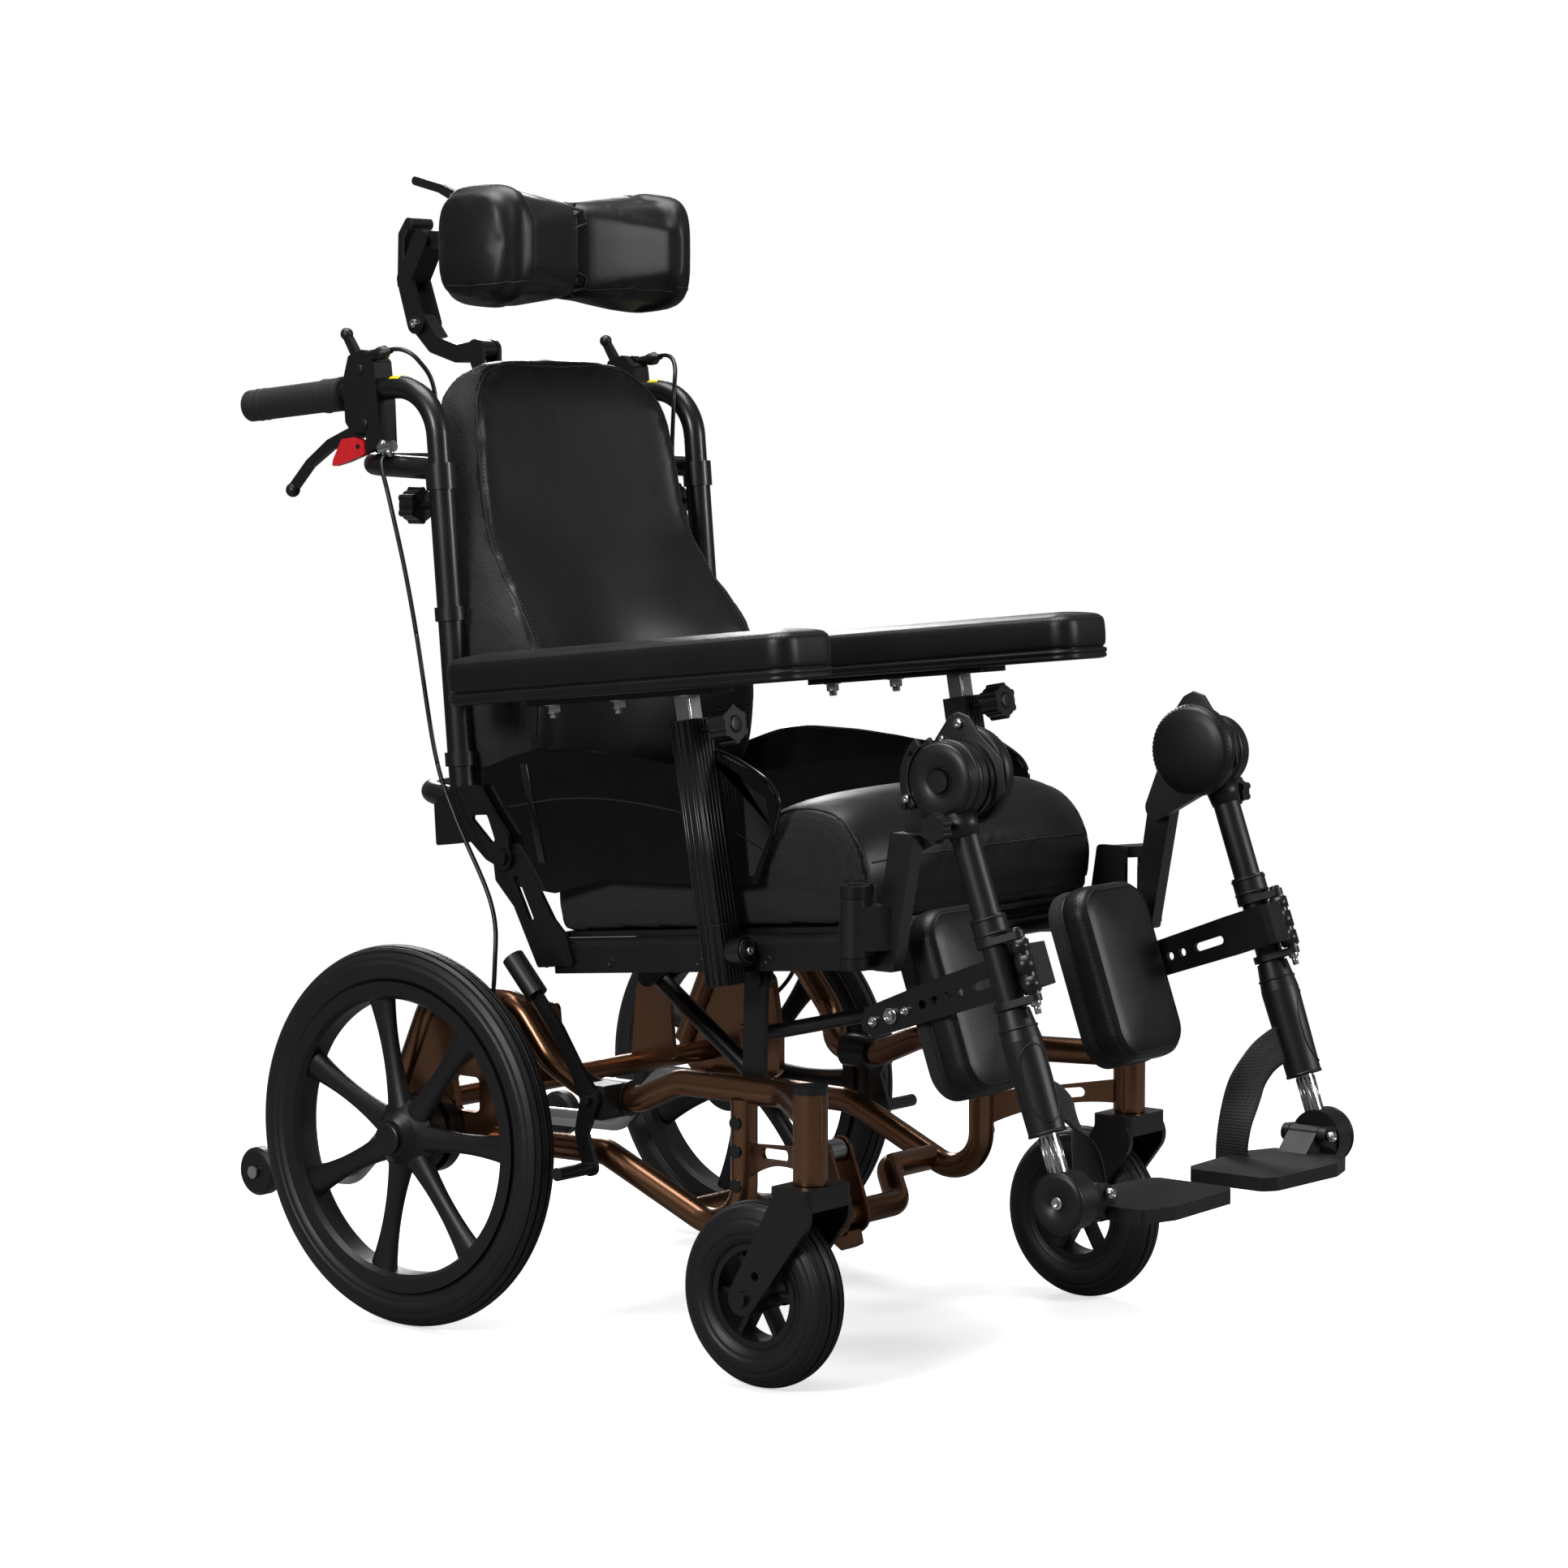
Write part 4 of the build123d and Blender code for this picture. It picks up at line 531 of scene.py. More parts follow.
def frames_along(path, closed=False):
    """Tangent, side and lift at each path point; the side is carried on so that it doesn't spin."""
    ahead = np.roll(path, -1, axis=0) - np.roll(path, 1, axis=0)
    if not closed:
        ahead[0], ahead[-1] = path[1] - path[0], path[-1] - path[-2]
    tangent = unit(ahead)
    side = np.zeros_like(path)
    start = np.array([0.0, 0.0, 1.0]) if abs(tangent[0, 2]) < 0.9 else np.array([1.0, 0.0, 0.0])
    side[0] = unit(np.cross(start, tangent[0]))
    for k in range(1, len(path)):
        side[k] = unit(side[k - 1] - tangent[k] * np.dot(side[k - 1], tangent[k]))
    return tangent, side, np.cross(tangent, side)


def circles(path, sides, closed=False):
    """Circle of unit radius round each point of a path and square to it, as offsets from the point."""
    _, side, lift = frames_along(path, closed)
    angle = full_turn(sides)
    return side[:, None] * np.cos(angle)[None, :, None] + lift[:, None] * np.sin(angle)[None, :, None]


def tube(name, path, radius, materials, sides, closed=False):
    """Round tube of one radius, or a radius at each point: a circle carried along the path, ends closed."""
    path = np.asarray(path, float)
    loops = path[:, None] + circles(path, sides, closed) * np.broadcast_to(radius, len(path))[:, None, None]
    if closed:
        return make_piece(name, loops.reshape(-1, 3), grid_faces(len(path), sides, True), materials)
    return skin(name, loops, materials, closing=3)


def join(name, pieces):
    """One object out of several, which keeps each one's materials."""
    depsgraph = bpy.context.evaluated_depsgraph_get()
    work = bmesh.new()
    slots = []
    for piece in pieces:
        mesh = bpy.data.meshes.new_from_object(piece.evaluated_get(depsgraph))
        index = []
        for material in piece.data.materials:
            if material not in slots:
                slots.append(material)
            index.append(slots.index(material))
        first = len(work.faces)
        work.from_mesh(mesh)
        work.faces.ensure_lookup_table()
        for face in work.faces[first:]:
            face.material_index = index[min(face.material_index, len(index) - 1)]
        bpy.data.meshes.remove(mesh)
        old = piece.data
        bpy.data.objects.remove(piece)
        bpy.data.meshes.remove(old)
    merged = bpy.data.meshes.new(name)
    work.to_mesh(merged)
    work.free()
    for material in slots:
        merged.materials.append(material)
    result = bpy.data.objects.new(name, merged)
    SCENE.collection.objects.link(result)
    return result


def on_surface(piece, points, lift):
    """Nearest points of a piece's surface, lifted along its normal."""
    tree = BVHTree.FromObject(piece, bpy.context.evaluated_depsgraph_get())
    found = [tree.find_nearest(Vector(point)) for point in points]
    return np.array([place + normal * lift for place, normal, _, _ in found])


def seam_line(piece, points, radius, count, closed=False):
    """Stitched seam: a thin welt that lies half sunk along the nearest line of the cover."""
    return tube("seam", on_surface(piece, spline(points, count, closed), 0.0001), radius, [seam_thread], 6, closed)


FOAM_PRESSURE = 4.0
CLOTH_FRAMES = 20


def pressed_mesh(piece):
    """The piece's mesh as its modifiers leave it."""
    return bpy.data.meshes.new_from_object(piece.evaluated_get(bpy.context.evaluated_depsgraph_get()))


def vertex_places(mesh):
    places = np.empty(len(mesh.vertices) * 3)
    mesh.vertices.foreach_get("co", places)
    return places.reshape(-1, 3)


def puff(piece, limit, voxel=0.005):
    """Fill a cover with foam: remesh it, press it outwards as cloth, and keep each point within the limit."""
    remesh = piece.modifiers.new("even", "REMESH")
    remesh.mode = "VOXEL"
    remesh.voxel_size = voxel
    even = pressed_mesh(piece)
    piece.modifiers.clear()
    dress(even, piece.data.materials)
    piece.data = even
    start = vertex_places(even)
    cloth = piece.modifiers.new("cover", "CLOTH")
    cloth.settings.use_pressure = True
    cloth.settings.uniform_pressure_force = FOAM_PRESSURE
    cloth.settings.quality = 4
    cloth.settings.effector_weights.gravity = 0
    for number in range(1, CLOTH_FRAMES + 1):
        SCENE.frame_set(number)
    move = vertex_places(pressed_mesh(piece)) - start
    piece.modifiers.clear()
    SCENE.frame_set(1)
    size = np.linalg.norm(move, axis=1, keepdims=True)
    move *= np.minimum(1, limit / np.maximum(size, 1e-9))
    even.vertices.foreach_set("co", (start + move).ravel())
    even.polygons.foreach_set("use_smooth", np.ones(len(even.polygons), bool))
    even.update()


def paint_slots(piece, choose):
    """Give each face the material slot that its centre calls for."""
    mesh = piece.data
    centres = np.empty(len(mesh.polygons) * 3)
    mesh.polygons.foreach_get("center", centres)
    mesh.polygons.foreach_set("material_index", choose(centres.reshape(-1, 3)).astype(np.int32))


# ---------------------------------------------------------------- cushions and pads

def carry(origin, x_dir, y_dir, normal):
    """Places points given as across, along and height, in metres."""
    origin, axes = np.array(origin, float), np.array([x_dir, y_dir, normal], float)
    return lambda points: origin + np.asarray(points) @ axes


PAD_CROWN = 0.0035


def layered_pad(name, place, half, corner, profile, materials, slots=None, rows=44):
    """Pad whose plan outline steps in and out with height: each row is the outline moved out by the profile."""
    steps = spline(np.array(profile, float), rows)
    loops = []
    for outset, height in steps * MM:
        outline = rounded_box(half[0] * MM + outset, half[1] * MM + outset, max(corner * MM + outset, 0.003))
        loops.append(np.column_stack([outline, np.full(len(outline), height)]))
    rim = loops[-1]
    reach = max(half[1] - half[0], 0) * MM
    ridge = np.clip(rim[:, 1], -reach, reach)
    for share in np.linspace(1, 0, 9)[1:]:
        loops.append(np.column_stack([
            rim[:, 0] * share, ridge * (1 - share) + rim[:, 1] * share, rim[:, 2] + PAD_CROWN * (1 - share**2),
        ]))
    loops = np.array([loops[0] * (0.02, 0.02, 1), *loops])
    points = place(loops.reshape(-1, 3))
    faces = grid_faces(len(loops), loops.shape[1])
    caps = [list(range(loops.shape[1]))[::-1]]
    where = slots and np.append(slots(loops.reshape(-1, 3)[faces, 2].mean(axis=1)), 0)
    return make_piece(name, points, [*faces.tolist(), *caps], materials, where)


def pad_outline(place, half, corner, outset, height, count):
    """Plan outline of a pad at one height, for a seam that runs round it."""
    outline = rounded_box(half[0] * MM + outset * MM, half[1] * MM + outset * MM, (corner + outset) * MM, count)
    return place(np.column_stack([outline, np.full(len(outline), height * MM)]))


STITCH_LENGTH = 0.0032
STITCH_GAP = 0.0016
STITCH_SWELL = np.array([0.35, 1.0, 0.35])[:, None, None] * 0.00045


def stitches(path):
    """Dashes of thread along a line: short five-sided tubes, thickest in the middle, with a space between them."""
    along = lengths_along(path)
    starts = np.arange(0, along[-1] - STITCH_LENGTH, STITCH_LENGTH + STITCH_GAP)
    offsets = np.array([0, 0.5, 1]) * STITCH_LENGTH
    points, faces = [], []
    for number, start in enumerate(starts):
        dash = np.stack([np.interp(start + offsets, along, path[:, axis]) for axis in range(3)], axis=1)
        points.append((dash[:, None] + circles(dash, 5) * STITCH_SWELL).reshape(-1, 3))
        base = number * 15
        faces += [[base + int(v) for v in face] for face in grid_faces(3, 5)]
        faces += [[base + k for k in range(5)], [base + 10 + k for k in reversed(range(5))]]
    # The dashes take the paler thread, whose colour is a painted highlight.
    return make_piece("stitches", np.concatenate(points), faces, [thread_light])


def fit_cover(name, pieces, body, node):
    """Join a cover with its seams, and fit it in place of a cushion of the frame."""
    cover = join(name, pieces)
    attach(cover, body)
    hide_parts(node)


def stitched_ring(pad, place, plan, outset, height, count):
    """Row of stitches round a pad at one height."""
    line = on_surface(pad, pad_outline(place, *plan, outset, height, count), 0.0002)
    return stitches(np.concatenate([line, line[:1]]))


ARM_PROFILE = [(-8, 0), (-2.5, 0.8), (0.2, 3), (-0.9, 6), (0.6, 8.6), (0, 11.2), (-3.6, 12.8), (-1.6, 14.5),
               (-0.4, 18), (0.3, 28), (0, 39), (-1.0, 43.5), (-2.4, 45.3), (-6, 48.2), (-12, 50)]
ARM_PLAN = ((45, 233.5), 24)


def make_armrest_pads():
    for side, hand in SIDES:
        place = carry((side * ARM_CENTRE[0], *ARM_CENTRE[1:]), (1, 0, 0), ARM_BACK, ARM_UP)
        pad = layered_pad(f"armrest_pad_cover_{hand}", place, *ARM_PLAN, ARM_PROFILE, [coated_fabric])
        ring = stitched_ring(pad, place, ARM_PLAN, -1.6, 44.6, 160)
        fit_cover(f"armrest_cushion_{hand}", [pad, ring], f"armrest_{hand}", f"armrest_pad_{hand}")


BACK_SECTIONS = np.array([
    (566, 190, 214, 258, 320), (600, 196, 200, 250, 325), (670, 198, 196, 250, 332), (731, 197, 202, 256, 338),
    (800, 192, 250, 276, 345), (855, 185, 280, 290, 350), (938, 180, 296, 305, 360), (985, 170, 305, 314, 366),
    (1014, 145, 317, 326, 366), (1028, 118, 324, 333, 360),
]) * MM
BACK_ROWS = spline(BACK_SECTIONS, 80)


def side_panel(centres):
    """Slot 1, the mesh, on the back cushion's two sides; slot 0 on its front, top and rear."""
    half, edge, _, rear = (np.interp(centres[:, 2], BACK_ROWS[:, 0], BACK_ROWS[:, k]) for k in range(1, 5))
    beside = (np.abs(centres[:, 0]) > half * 0.9) & (centres[:, 1] > edge + 0.002) & (centres[:, 1] < rear - 0.02)
    return beside.astype(int)


def make_back_cushion():
    """Contoured back: at each height a closed curve with a hollow front, proud edges and a flat rear."""
    loops = []
    for z, half, edge, middle, rear in BACK_ROWS:
        across = np.linspace(-0.8, 0.8, 9)
        hollow = middle + (edge + 0.004 - middle) * (across / 0.8) ** 2
        front = [(-half, edge + 0.016), (-half * 0.965, edge + 0.004), (-half * 0.9, edge)]
        front += list(zip(across * half, hollow))
        front += [(half * 0.9, edge), (half * 0.965, edge + 0.004), (half, edge + 0.016)]
        middle_side = (edge + rear) / 2
        rear_half = [(half + 0.002, middle_side), (half, rear - 0.022), (half * 0.93, rear - 0.012)]
        back = [(half * 0.6, rear - 0.003), (0, rear), (-half * 0.6, rear - 0.003)]
        other = [(-x, y) for x, y in reversed(rear_half)]
        loop = spline(front + rear_half + back + other, 132, closed=True)
        loops.append(np.column_stack([loop, np.full(len(loop), z)]))
    cover = skin(
        "back_cover", rounded_stack(loops, 0.010), [coated_fabric, spacer_mesh], side_panel, crown=(0.0, 0.003),
    )
    puff(cover, 0.004)
    paint_slots(cover, side_panel)
    rims = [np.array([(side * half * 0.915, edge - 0.004, z) for z, half, edge, _, _ in BACK_ROWS[::3]])
            for side in (-1, 1)]
    top = [(x * BACK_ROWS[-1, 1] * 0.9, BACK_ROWS[-1, 3] - 0.012, 1.033) for x in (-0.7, -0.35, 0, 0.35, 0.7)]
    outline = np.concatenate([rims[0], top, rims[1][::-1]])
    welt = seam_line(cover, outline, 0.0013, 260)
    beside = stitches(on_surface(cover, spline(outline * (0.965, 1, 1), 400), 0.0002))
    fit_cover("back_cushion_cover", [cover, welt, beside], "back", "back_cushion")


SEAT_LOOP = np.array([
    (-150, 55), (-60, 53.8), (60, 53.8), (180, 53.8), (258, 55), (268, 70), (270, 95), (266, 120), (254, 131),
    (200, 134), (120, 132), (50, 142), (-10, 165), (-52, 180), (-90, 184), (-126, 175), (-150, 152), (-163, 122),
    (-165, 95), (-160, 68),
]) * MM


# Places points given as across, rearwards and upwards from the tilt axis, in metres along the pitched seat.
seat_place = carry((0, -0.112, 0.396), (1, 0, 0), SEAT_BACK, SEAT_UP)


def seat_panel(centres):
    """Slot 1, the mesh, on the two flanks below the top seam; slot 0 elsewhere."""
    return (np.abs(centres[:, 0]) > 0.198).astype(int)


def make_seat_cushion():
    """Seat: one side profile with a raised front roll, carried across and drawn in towards both flanks."""
    profile = spline(SEAT_LOOP, 150, closed=True)
    centre = np.array([0.05, 0.095])
    floor = 0.0538
    loops = []
    for across in np.linspace(-1, 1, 61):
        pull = 1 - 0.035 * abs(across) ** 6
        lift = 1 - 0.05 * across**2 - 0.07 * abs(across) ** 8
        loop = centre + (profile - centre) * (pull, 1)
        loop[:, 1] = floor + (loop[:, 1] - floor) * lift
        loops.append(np.column_stack([np.full(len(loop), across * 0.197), loop]))
    stack = rounded_stack(loops, 0.009)
    stack[..., 2] = np.maximum(stack[..., 2], floor - 0.0001)
    cover = skin("seat_cover", seat_place(stack), [coated_fabric, spacer_mesh], seat_panel, crown=(0.002, 0.002))
    puff(cover, 0.004)
    paint_slots(cover, seat_panel)
    arch = SEAT_LOOP[8:20]
    lines = [
        seam_line(cover, seat_place(np.column_stack([np.full(len(arch), side * 0.201), arch])), 0.0014, 160)
        for side in (-1, 1)
    ]
    front = [(x, -0.17, 0.118) for x in np.linspace(-0.19, 0.19, 9)]
    lines.append(seam_line(cover, seat_place(front), 0.0012, 120))
    fit_cover("seat_cushion_cover", [cover, *lines], "seat", "seat_cushion")


HEAD_HALF = [
    (0, 293, 366, 1098, 1211), (16, 289, 366, 1098, 1211), (50, 278, 367, 1096, 1213), (96, 265, 368, 1094, 1216),
    (112, 260, 368, 1093, 1217), (124, 252, 368, 1091, 1219), (138, 250, 366, 1091, 1220), (146, 254, 363, 1094, 1217),
    (152, 262, 358, 1099, 1211),
]
HEAD_SECTIONS = np.array([(-x, *section) for x, *section in HEAD_HALF[:0:-1]] + HEAD_HALF) * MM
CHEEK_X = 0.0118


def rounder(wave):
    """A sine or cosine pushed out towards a square, so that a loop gets corners."""
    return np.abs(wave) ** 0.5 * np.sign(wave)


def make_headrest():
    """Head pad in two halves that meet at an angle: an egg-cornered section, drawn in by a cord where they meet."""
    rows = spline(HEAD_SECTIONS, 161)
    turn = full_turn(96)
    loops = []
    for x, front, rear, low, high in rows:
        pinch = 0.009 * math.exp(-abs(x) / 0.006)
        half_y, half_z = (rear - front) / 2 - pinch * 0.6, (high - low) / 2 - pinch * 0.5
        folds = 0.0005 * math.exp(-abs(x) / 0.03) * np.sin(turn * 7 + math.copysign(1.3, x))
        y = (front + rear) / 2 + pinch * 0.5 + (half_y + folds) * rounder(np.cos(turn))
        z = (low + high) / 2 + (half_z + folds) * rounder(np.sin(turn))
        loops.append(np.column_stack([np.full(96, x), y, z]))
    cover = skin("head_cover", rounded_stack(loops, 0.010, 8), [coated_fabric], crown=(0.004, 0.004))
    puff(cover, 0.0035, voxel=0.004)
    ring = [(0, 0.28, 1.11), (0, 0.28, 1.20), (0, 0.31, 1.222), (0, 0.35, 1.222),
            (0, 0.378, 1.20), (0, 0.378, 1.11), (0, 0.35, 1.088), (0, 0.31, 1.088)]
    lines = [seam_line(cover, ring, 0.0016, 90, closed=True)]
    for side in (-1, 1):
        cap = [(side * 0.158, y, 1.112) for y in np.linspace(0.345, 0.272, 10)]
        cap += [(side * 0.146, 0.248, 1.112), (side * 0.132, 0.242, 1.112), (side * 0.118, 0.245, 1.111)]
        lines.append(seam_line(cover, cap, 0.0009, 80))
    lower = [(x, np.interp(x, rows[:, 0], rows[:, 1]) - 0.004, 1.107) for x in np.linspace(-0.116, 0.116, 25)]
    lines.append(seam_line(cover, lower, 0.0009, 200))
    for side in (-1, 1):
        root = [(side * CHEEK_X, y, 1.165) for y in (0.356, 0.372, 0.399)]
        cheek = tube("cheek", spline(root, 12), np.linspace(0.014, 0.009, 12), [black_coat], 24)
        for vertex in cheek.data.vertices:
            vertex.co.x = side * CHEEK_X + (vertex.co.x - side * CHEEK_X) * 0.16
        lines.append(cheek)
    fit_cover("headrest_cushion", [cover, *lines], "headrest", "headrest_pad")


KNEE_PROFILE = [(-7, 0), (-2, 0.8), (-0.4, 4), (0, 9), (-0.8, 13), (-1.8, 14.2), (-2.2, 15.4), (-5, 18.6), (-12, 21.4)]
KNEE_PLAN = ((49, 49), 49)
CALF_PROFILE = [(-14, -20), (-6, -19.4), (-1.4, -16), (0, -10), (-0.6, -4), (-4.6, 0), (-1.4, 3), (-0.2, 9), (-0.4, 18),
                (-1.4, 23), (-2.6, 25), (-3.2, 26.4), (-7.5, 30), (-15, 32.2)]
CALF_PLAN = ((62.5, 95.5), 34)


def calf_layers(heights):
    """Slot 1, the mesh, on the calf pad's rear layer."""
    return (heights < -0.001).astype(int)


def make_leg_pads():
    knee = np.array([0, *KNEE]) * MM
    for side, hand in SIDES:
        place = carry(knee + (side * 0.2087, 0, 0.003), (0, side, 0), (0, 0, 1), (-side, 0, 0))
        pad = layered_pad(f"knee_cover_{hand}", place, *KNEE_PLAN, KNEE_PROFILE, [coated_fabric], rows=30)
        ring = stitched_ring(pad, place, KNEE_PLAN, -2, 14.8, 120)
        fit_cover(f"knee_cushion_{hand}", [pad, ring], f"legrest_hanger_{hand}", f"knee_pad_{hand}")

        place = carry(knee + (side * 0.134, 0, 0) + LEG_DOWN * 0.201 + LEG_BACK * 0.132, (1, 0, 0), LEG_DOWN, -LEG_BACK)
        pad = layered_pad(
            f"calf_cover_{hand}", place, *CALF_PLAN, CALF_PROFILE, [coated_fabric, spacer_mesh], calf_layers, rows=52,
        )
        ring = stitched_ring(pad, place, CALF_PLAN, -2.2, 24, 140)
        border = on_surface(pad, pad_outline(place, *CALF_PLAN, -7.4, 31, 140), 0.0001)
        welt = tube("seam", border, 0.0009, [seam_thread], 6, closed=True)
        fit_cover(f"calf_cushion_{hand}", [pad, ring, welt], f"calf_support_{hand}", f"calf_pad_{hand}")


make_armrest_pads()
make_back_cushion()
make_seat_cushion()
make_headrest()
make_leg_pads()


# ---------------------------------------------------------------- finishes of parts made of two materials

def two_tone(node, materials, choose):
    """Give each face of a carried piece one of several finishes, by where its centre lies."""
    dress(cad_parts[node].data, materials)
    paint_slots(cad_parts[node], choose)


def from_leg_axis(centres, side):
    """Distance from a leg's axis and distance down it from the knee."""
    offset = centres - np.array([side * LEG_X, *KNEE]) * MM
    along = offset @ LEG_DOWN
    return np.linalg.norm(offset - along[:, None] * LEG_DOWN, axis=1), along


def from_axle(centres, node):
    """Distance of each point from the axle of a wheel that turns about X."""
    low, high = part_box(node)
    return np.hypot(centres[:, 1] - (low.y + high.y) / 2, centres[:, 2] - (low.z + high.z) / 2)


def dress_two_tone_parts():
    for side, hand in SIDES:
        lever, castor = f"wheel_lock_lever_{hand}", f"castor_wheel_{hand}"

        def extension(centres):
            away, along = from_leg_axis(centres, side)
            return (away > 0.0103) | (along > 0.3985)

        def post(centres):
            height = (centres - (side * ARM_CENTRE[0], *ARM_CENTRE[1:])) @ ARM_UP
            forward = (centres - np.array([side * SOCKET_FOOT[0], *SOCKET_FOOT[1:]]) * MM) @ SOCKET_BACK
            return np.where(height > -0.0062, 1, (np.abs(forward) > 0.0105) * 2)

        def handle(centres):
            near = np.zeros(len(centres), bool)
            for y, z in ((0.386, 1.0375), (0.372, 0.9375)):
                away = np.linalg.norm(centres - (side * 0.225, y, z), axis=1)
                near |= (away < 0.0125) & (centres[:, 1] < 0.3795)
            return near

        def bracket(centres):
            out = np.abs(centres[:, 0])
            return (out > 0.2034) & (out < 0.2075) & (from_leg_axis(centres, side)[1] > 0.1)

        two_tone(f"leg_extension_{hand}", [chrome, black_nylon], extension)
        two_tone(castor, [tyre_rubber, wheel_nylon], lambda centres: from_axle(centres, castor) < 0.0535)
        two_tone(f"armrest_post_{hand}", [chrome, black_coat, zinc], post)
        two_tone(f"push_handle_{hand}", [black_coat, zinc], handle)
        two_tone(f"calf_bracket_{hand}", [black_coat, zinc], bracket)
        two_tone(lever, [black_coat, black_nylon], lambda centres: centres[:, 2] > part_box(lever)[1].z - 0.06)


dress_two_tone_parts()


# ---------------------------------------------------------------- cables and straps

RELEASE_ROUTE = np.array([
    (226, 378, 1041), (222, 352, 1042), (214, 335, 1030), (201, 325, 1000), (197, 325, 930), (197, 323, 868),
    (205, 316, 820), (207, 311, 770), (207, 297, 618),
]) * MM
BRAKE_ROUTE = np.array([
    (224, 375, 930.5), (237, 369, 918), (244, 352, 884), (242, 332, 810), (240, 316, 735), (240, 290, 610),
    (240, 262, 545), (246, 206, 458), (259, 188, 400), (262, 200, 330), (260, 268, 268),
]) * MM


CABLE_RADIUS = 0.0025
# The release cable's tie is two equal bands that lie in one place, at this sample of the route.
TIE_RADIUS = 0.0034
TIE_BANDS = 2
TIE_AT = 90


def cable_part(name, path):
    """One span of a cable: a tube along part of its smooth route."""
    piece = tube(name, path, CABLE_RADIUS, [cable_sleeve], 12)
    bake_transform(piece)
    return piece


def make_cables():
    spans = []
    for side, hand in SIDES:
        brake = spline(BRAKE_ROUTE * (side, 1, 1), 200)
        low, middle = (int(np.argmax(brake[:, 2] < height)) for height in (0.60, 0.74))
        release = spline(RELEASE_ROUTE * (side, 1, 1), 140)
        spans += [
            cable_part(f"brake_cable_top_{hand}", brake[:middle + 1]),
            cable_part(
                f"brake_cable_middle_{hand}", brake[middle:low + 1],
            ),
            cable_part(f"brake_cable_low_{hand}", brake[low:]),
            cable_part(f"release_cable_{hand}", release),
        ]
        for _ in range(TIE_BANDS):
            tie = tube(f"cable_tie_{hand}_{TIE_AT}", release[TIE_AT - 2:TIE_AT + 3], TIE_RADIUS, [black_nylon], 12)
            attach(tie, "back")
    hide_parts("control_cables")


STRAP_ROUTE = np.array([
    (219, -488, 316), (205, -487, 313), (180, -486, 303), (155, -485, 281), (139, -484, 252), (131, -484, 226),
    (128, -484, 199),
]) * MM
STRAP_HALF_WIDTH = 0.019
STRAP_HALF_THICK = 0.0010


def make_heel_straps():
    """Webbing strap: a band carried down its path while its width turns from along the leg to along the plate."""
    share = np.linspace(0, 1, 60)[:, None]
    ease_in = np.clip(share * 1.6 - 0.5, 0, 1)
    turn = ease_in**2 * (3 - 2 * ease_in)
    sag = 0.0012 * np.sin(share * np.pi * 3)
    across = np.linspace(-1, 1, 9) * STRAP_HALF_WIDTH
    rim = np.concatenate([
        np.column_stack([across, np.full(9, STRAP_HALF_THICK)]),
        np.column_stack([across[::-1], np.full(9, -STRAP_HALF_THICK)]),
    ])
    for side, hand in SIDES:
        path = spline(STRAP_ROUTE * (side, 1, 1), 60)
        tangent, _, _ = frames_along(path)
        width = unit(LEG_DOWN * (1 - turn) + np.array([0, -1.0, 0]) * turn)
        width = unit(width - tangent * np.sum(width * tangent, axis=1, keepdims=True))
        face = np.cross(tangent, width)
        loops = path[:, None] + width[:, None] * rim[None, :, :1] + face[:, None] * (rim[None, :, 1:] + sag[:, None])
        strap = skin(f"heel_strap_band_{hand}", loops, [webbing], closing=2)
        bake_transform(strap)
        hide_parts(f"heel_strap_{hand}")


make_cables()
make_heel_straps()


# ---------------------------------------------------------------- fittings and small parts

def turned(centre, axis, profile, material, sides):
    """Turned part: a circle whose radius steps along an axis, given in millimetres as (radius, height) pairs."""
    axis = unit(np.array(axis, float))
    side = unit(np.cross(axis, (0, 0, 1) if abs(axis[2]) < 0.9 else (1, 0, 0)))
    lift = np.cross(axis, side)
    angle = full_turn(sides)
    circle = side * np.cos(angle)[:, None] + lift * np.sin(angle)[:, None]
    loops = [np.array(centre) * MM + circle * radius * MM + axis * height * MM for radius, height in profile]
    return skin("turned", loops, [material], closing=2)


BOLT_HEAD = [(0.35, -0.6), (0.96, -0.6), (1, -0.4), (1, 0.35), (0.9, 0.6), (0.55, 0.72), (0.5, 0.3), (0.2, 0.28)]


def bolt(centre, axis, radius, material=zinc):
    """Button-head bolt with a socket in its face."""
    return turned(centre, axis, [(r * radius, h * radius) for r, h in BOLT_HEAD], material, 20)


def slab(outline, near, far, material, bevel):
    """Flat plate: a side outline in millimetres, carried from one depth to another, with eased edges."""
    count = len(outline)
    points = np.array([(depth, *spot) for depth in sorted((near, far)) for spot in outline], float) * MM
    faces = grid_faces(2, count).tolist() + [list(range(count))[::-1], list(range(count, 2 * count))]
    piece = make_piece("plate", points, faces, [material], smooth=False)
    soften = piece.modifiers.new("eased", "BEVEL")
    soften.width, soften.segments, soften.limit_method = bevel * MM, 3, "ANGLE"
    return piece


def band(inner, outer, start, end, near, far, material, bevel=1.2):
    """Curved cheek round the knee: the part of a ring between two angles, in degrees from the rear, upwards."""
    sweep = np.radians(np.linspace(start, end, 24))
    outline = [
        (KNEE[0] + radius * math.cos(angle), KNEE[1] + radius * math.sin(angle))
        for radius, angles in ((outer, sweep), (inner, sweep[::-1])) for angle in angles
    ]
    return slab(outline, near, far, material, bevel)


def rod(start, end, radius, material, sides=14):
    """Straight round bar between two points, in millimetres."""
    return tube("rod", np.array([start, end]) * MM, np.array(radius) * MM, [material], sides)


def riding(name, body, pieces):
    """Join small parts into one piece that rides on a body."""
    group = join(name, pieces)
    flat = np.array([piece.use_smooth for piece in group.data.polygons])
    if not flat.all():
        group.data.polygons.foreach_set("use_smooth", np.ones(len(flat), bool))
        group.data.set_sharp_from_angle(angle=math.radians(35))
    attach(group, body)


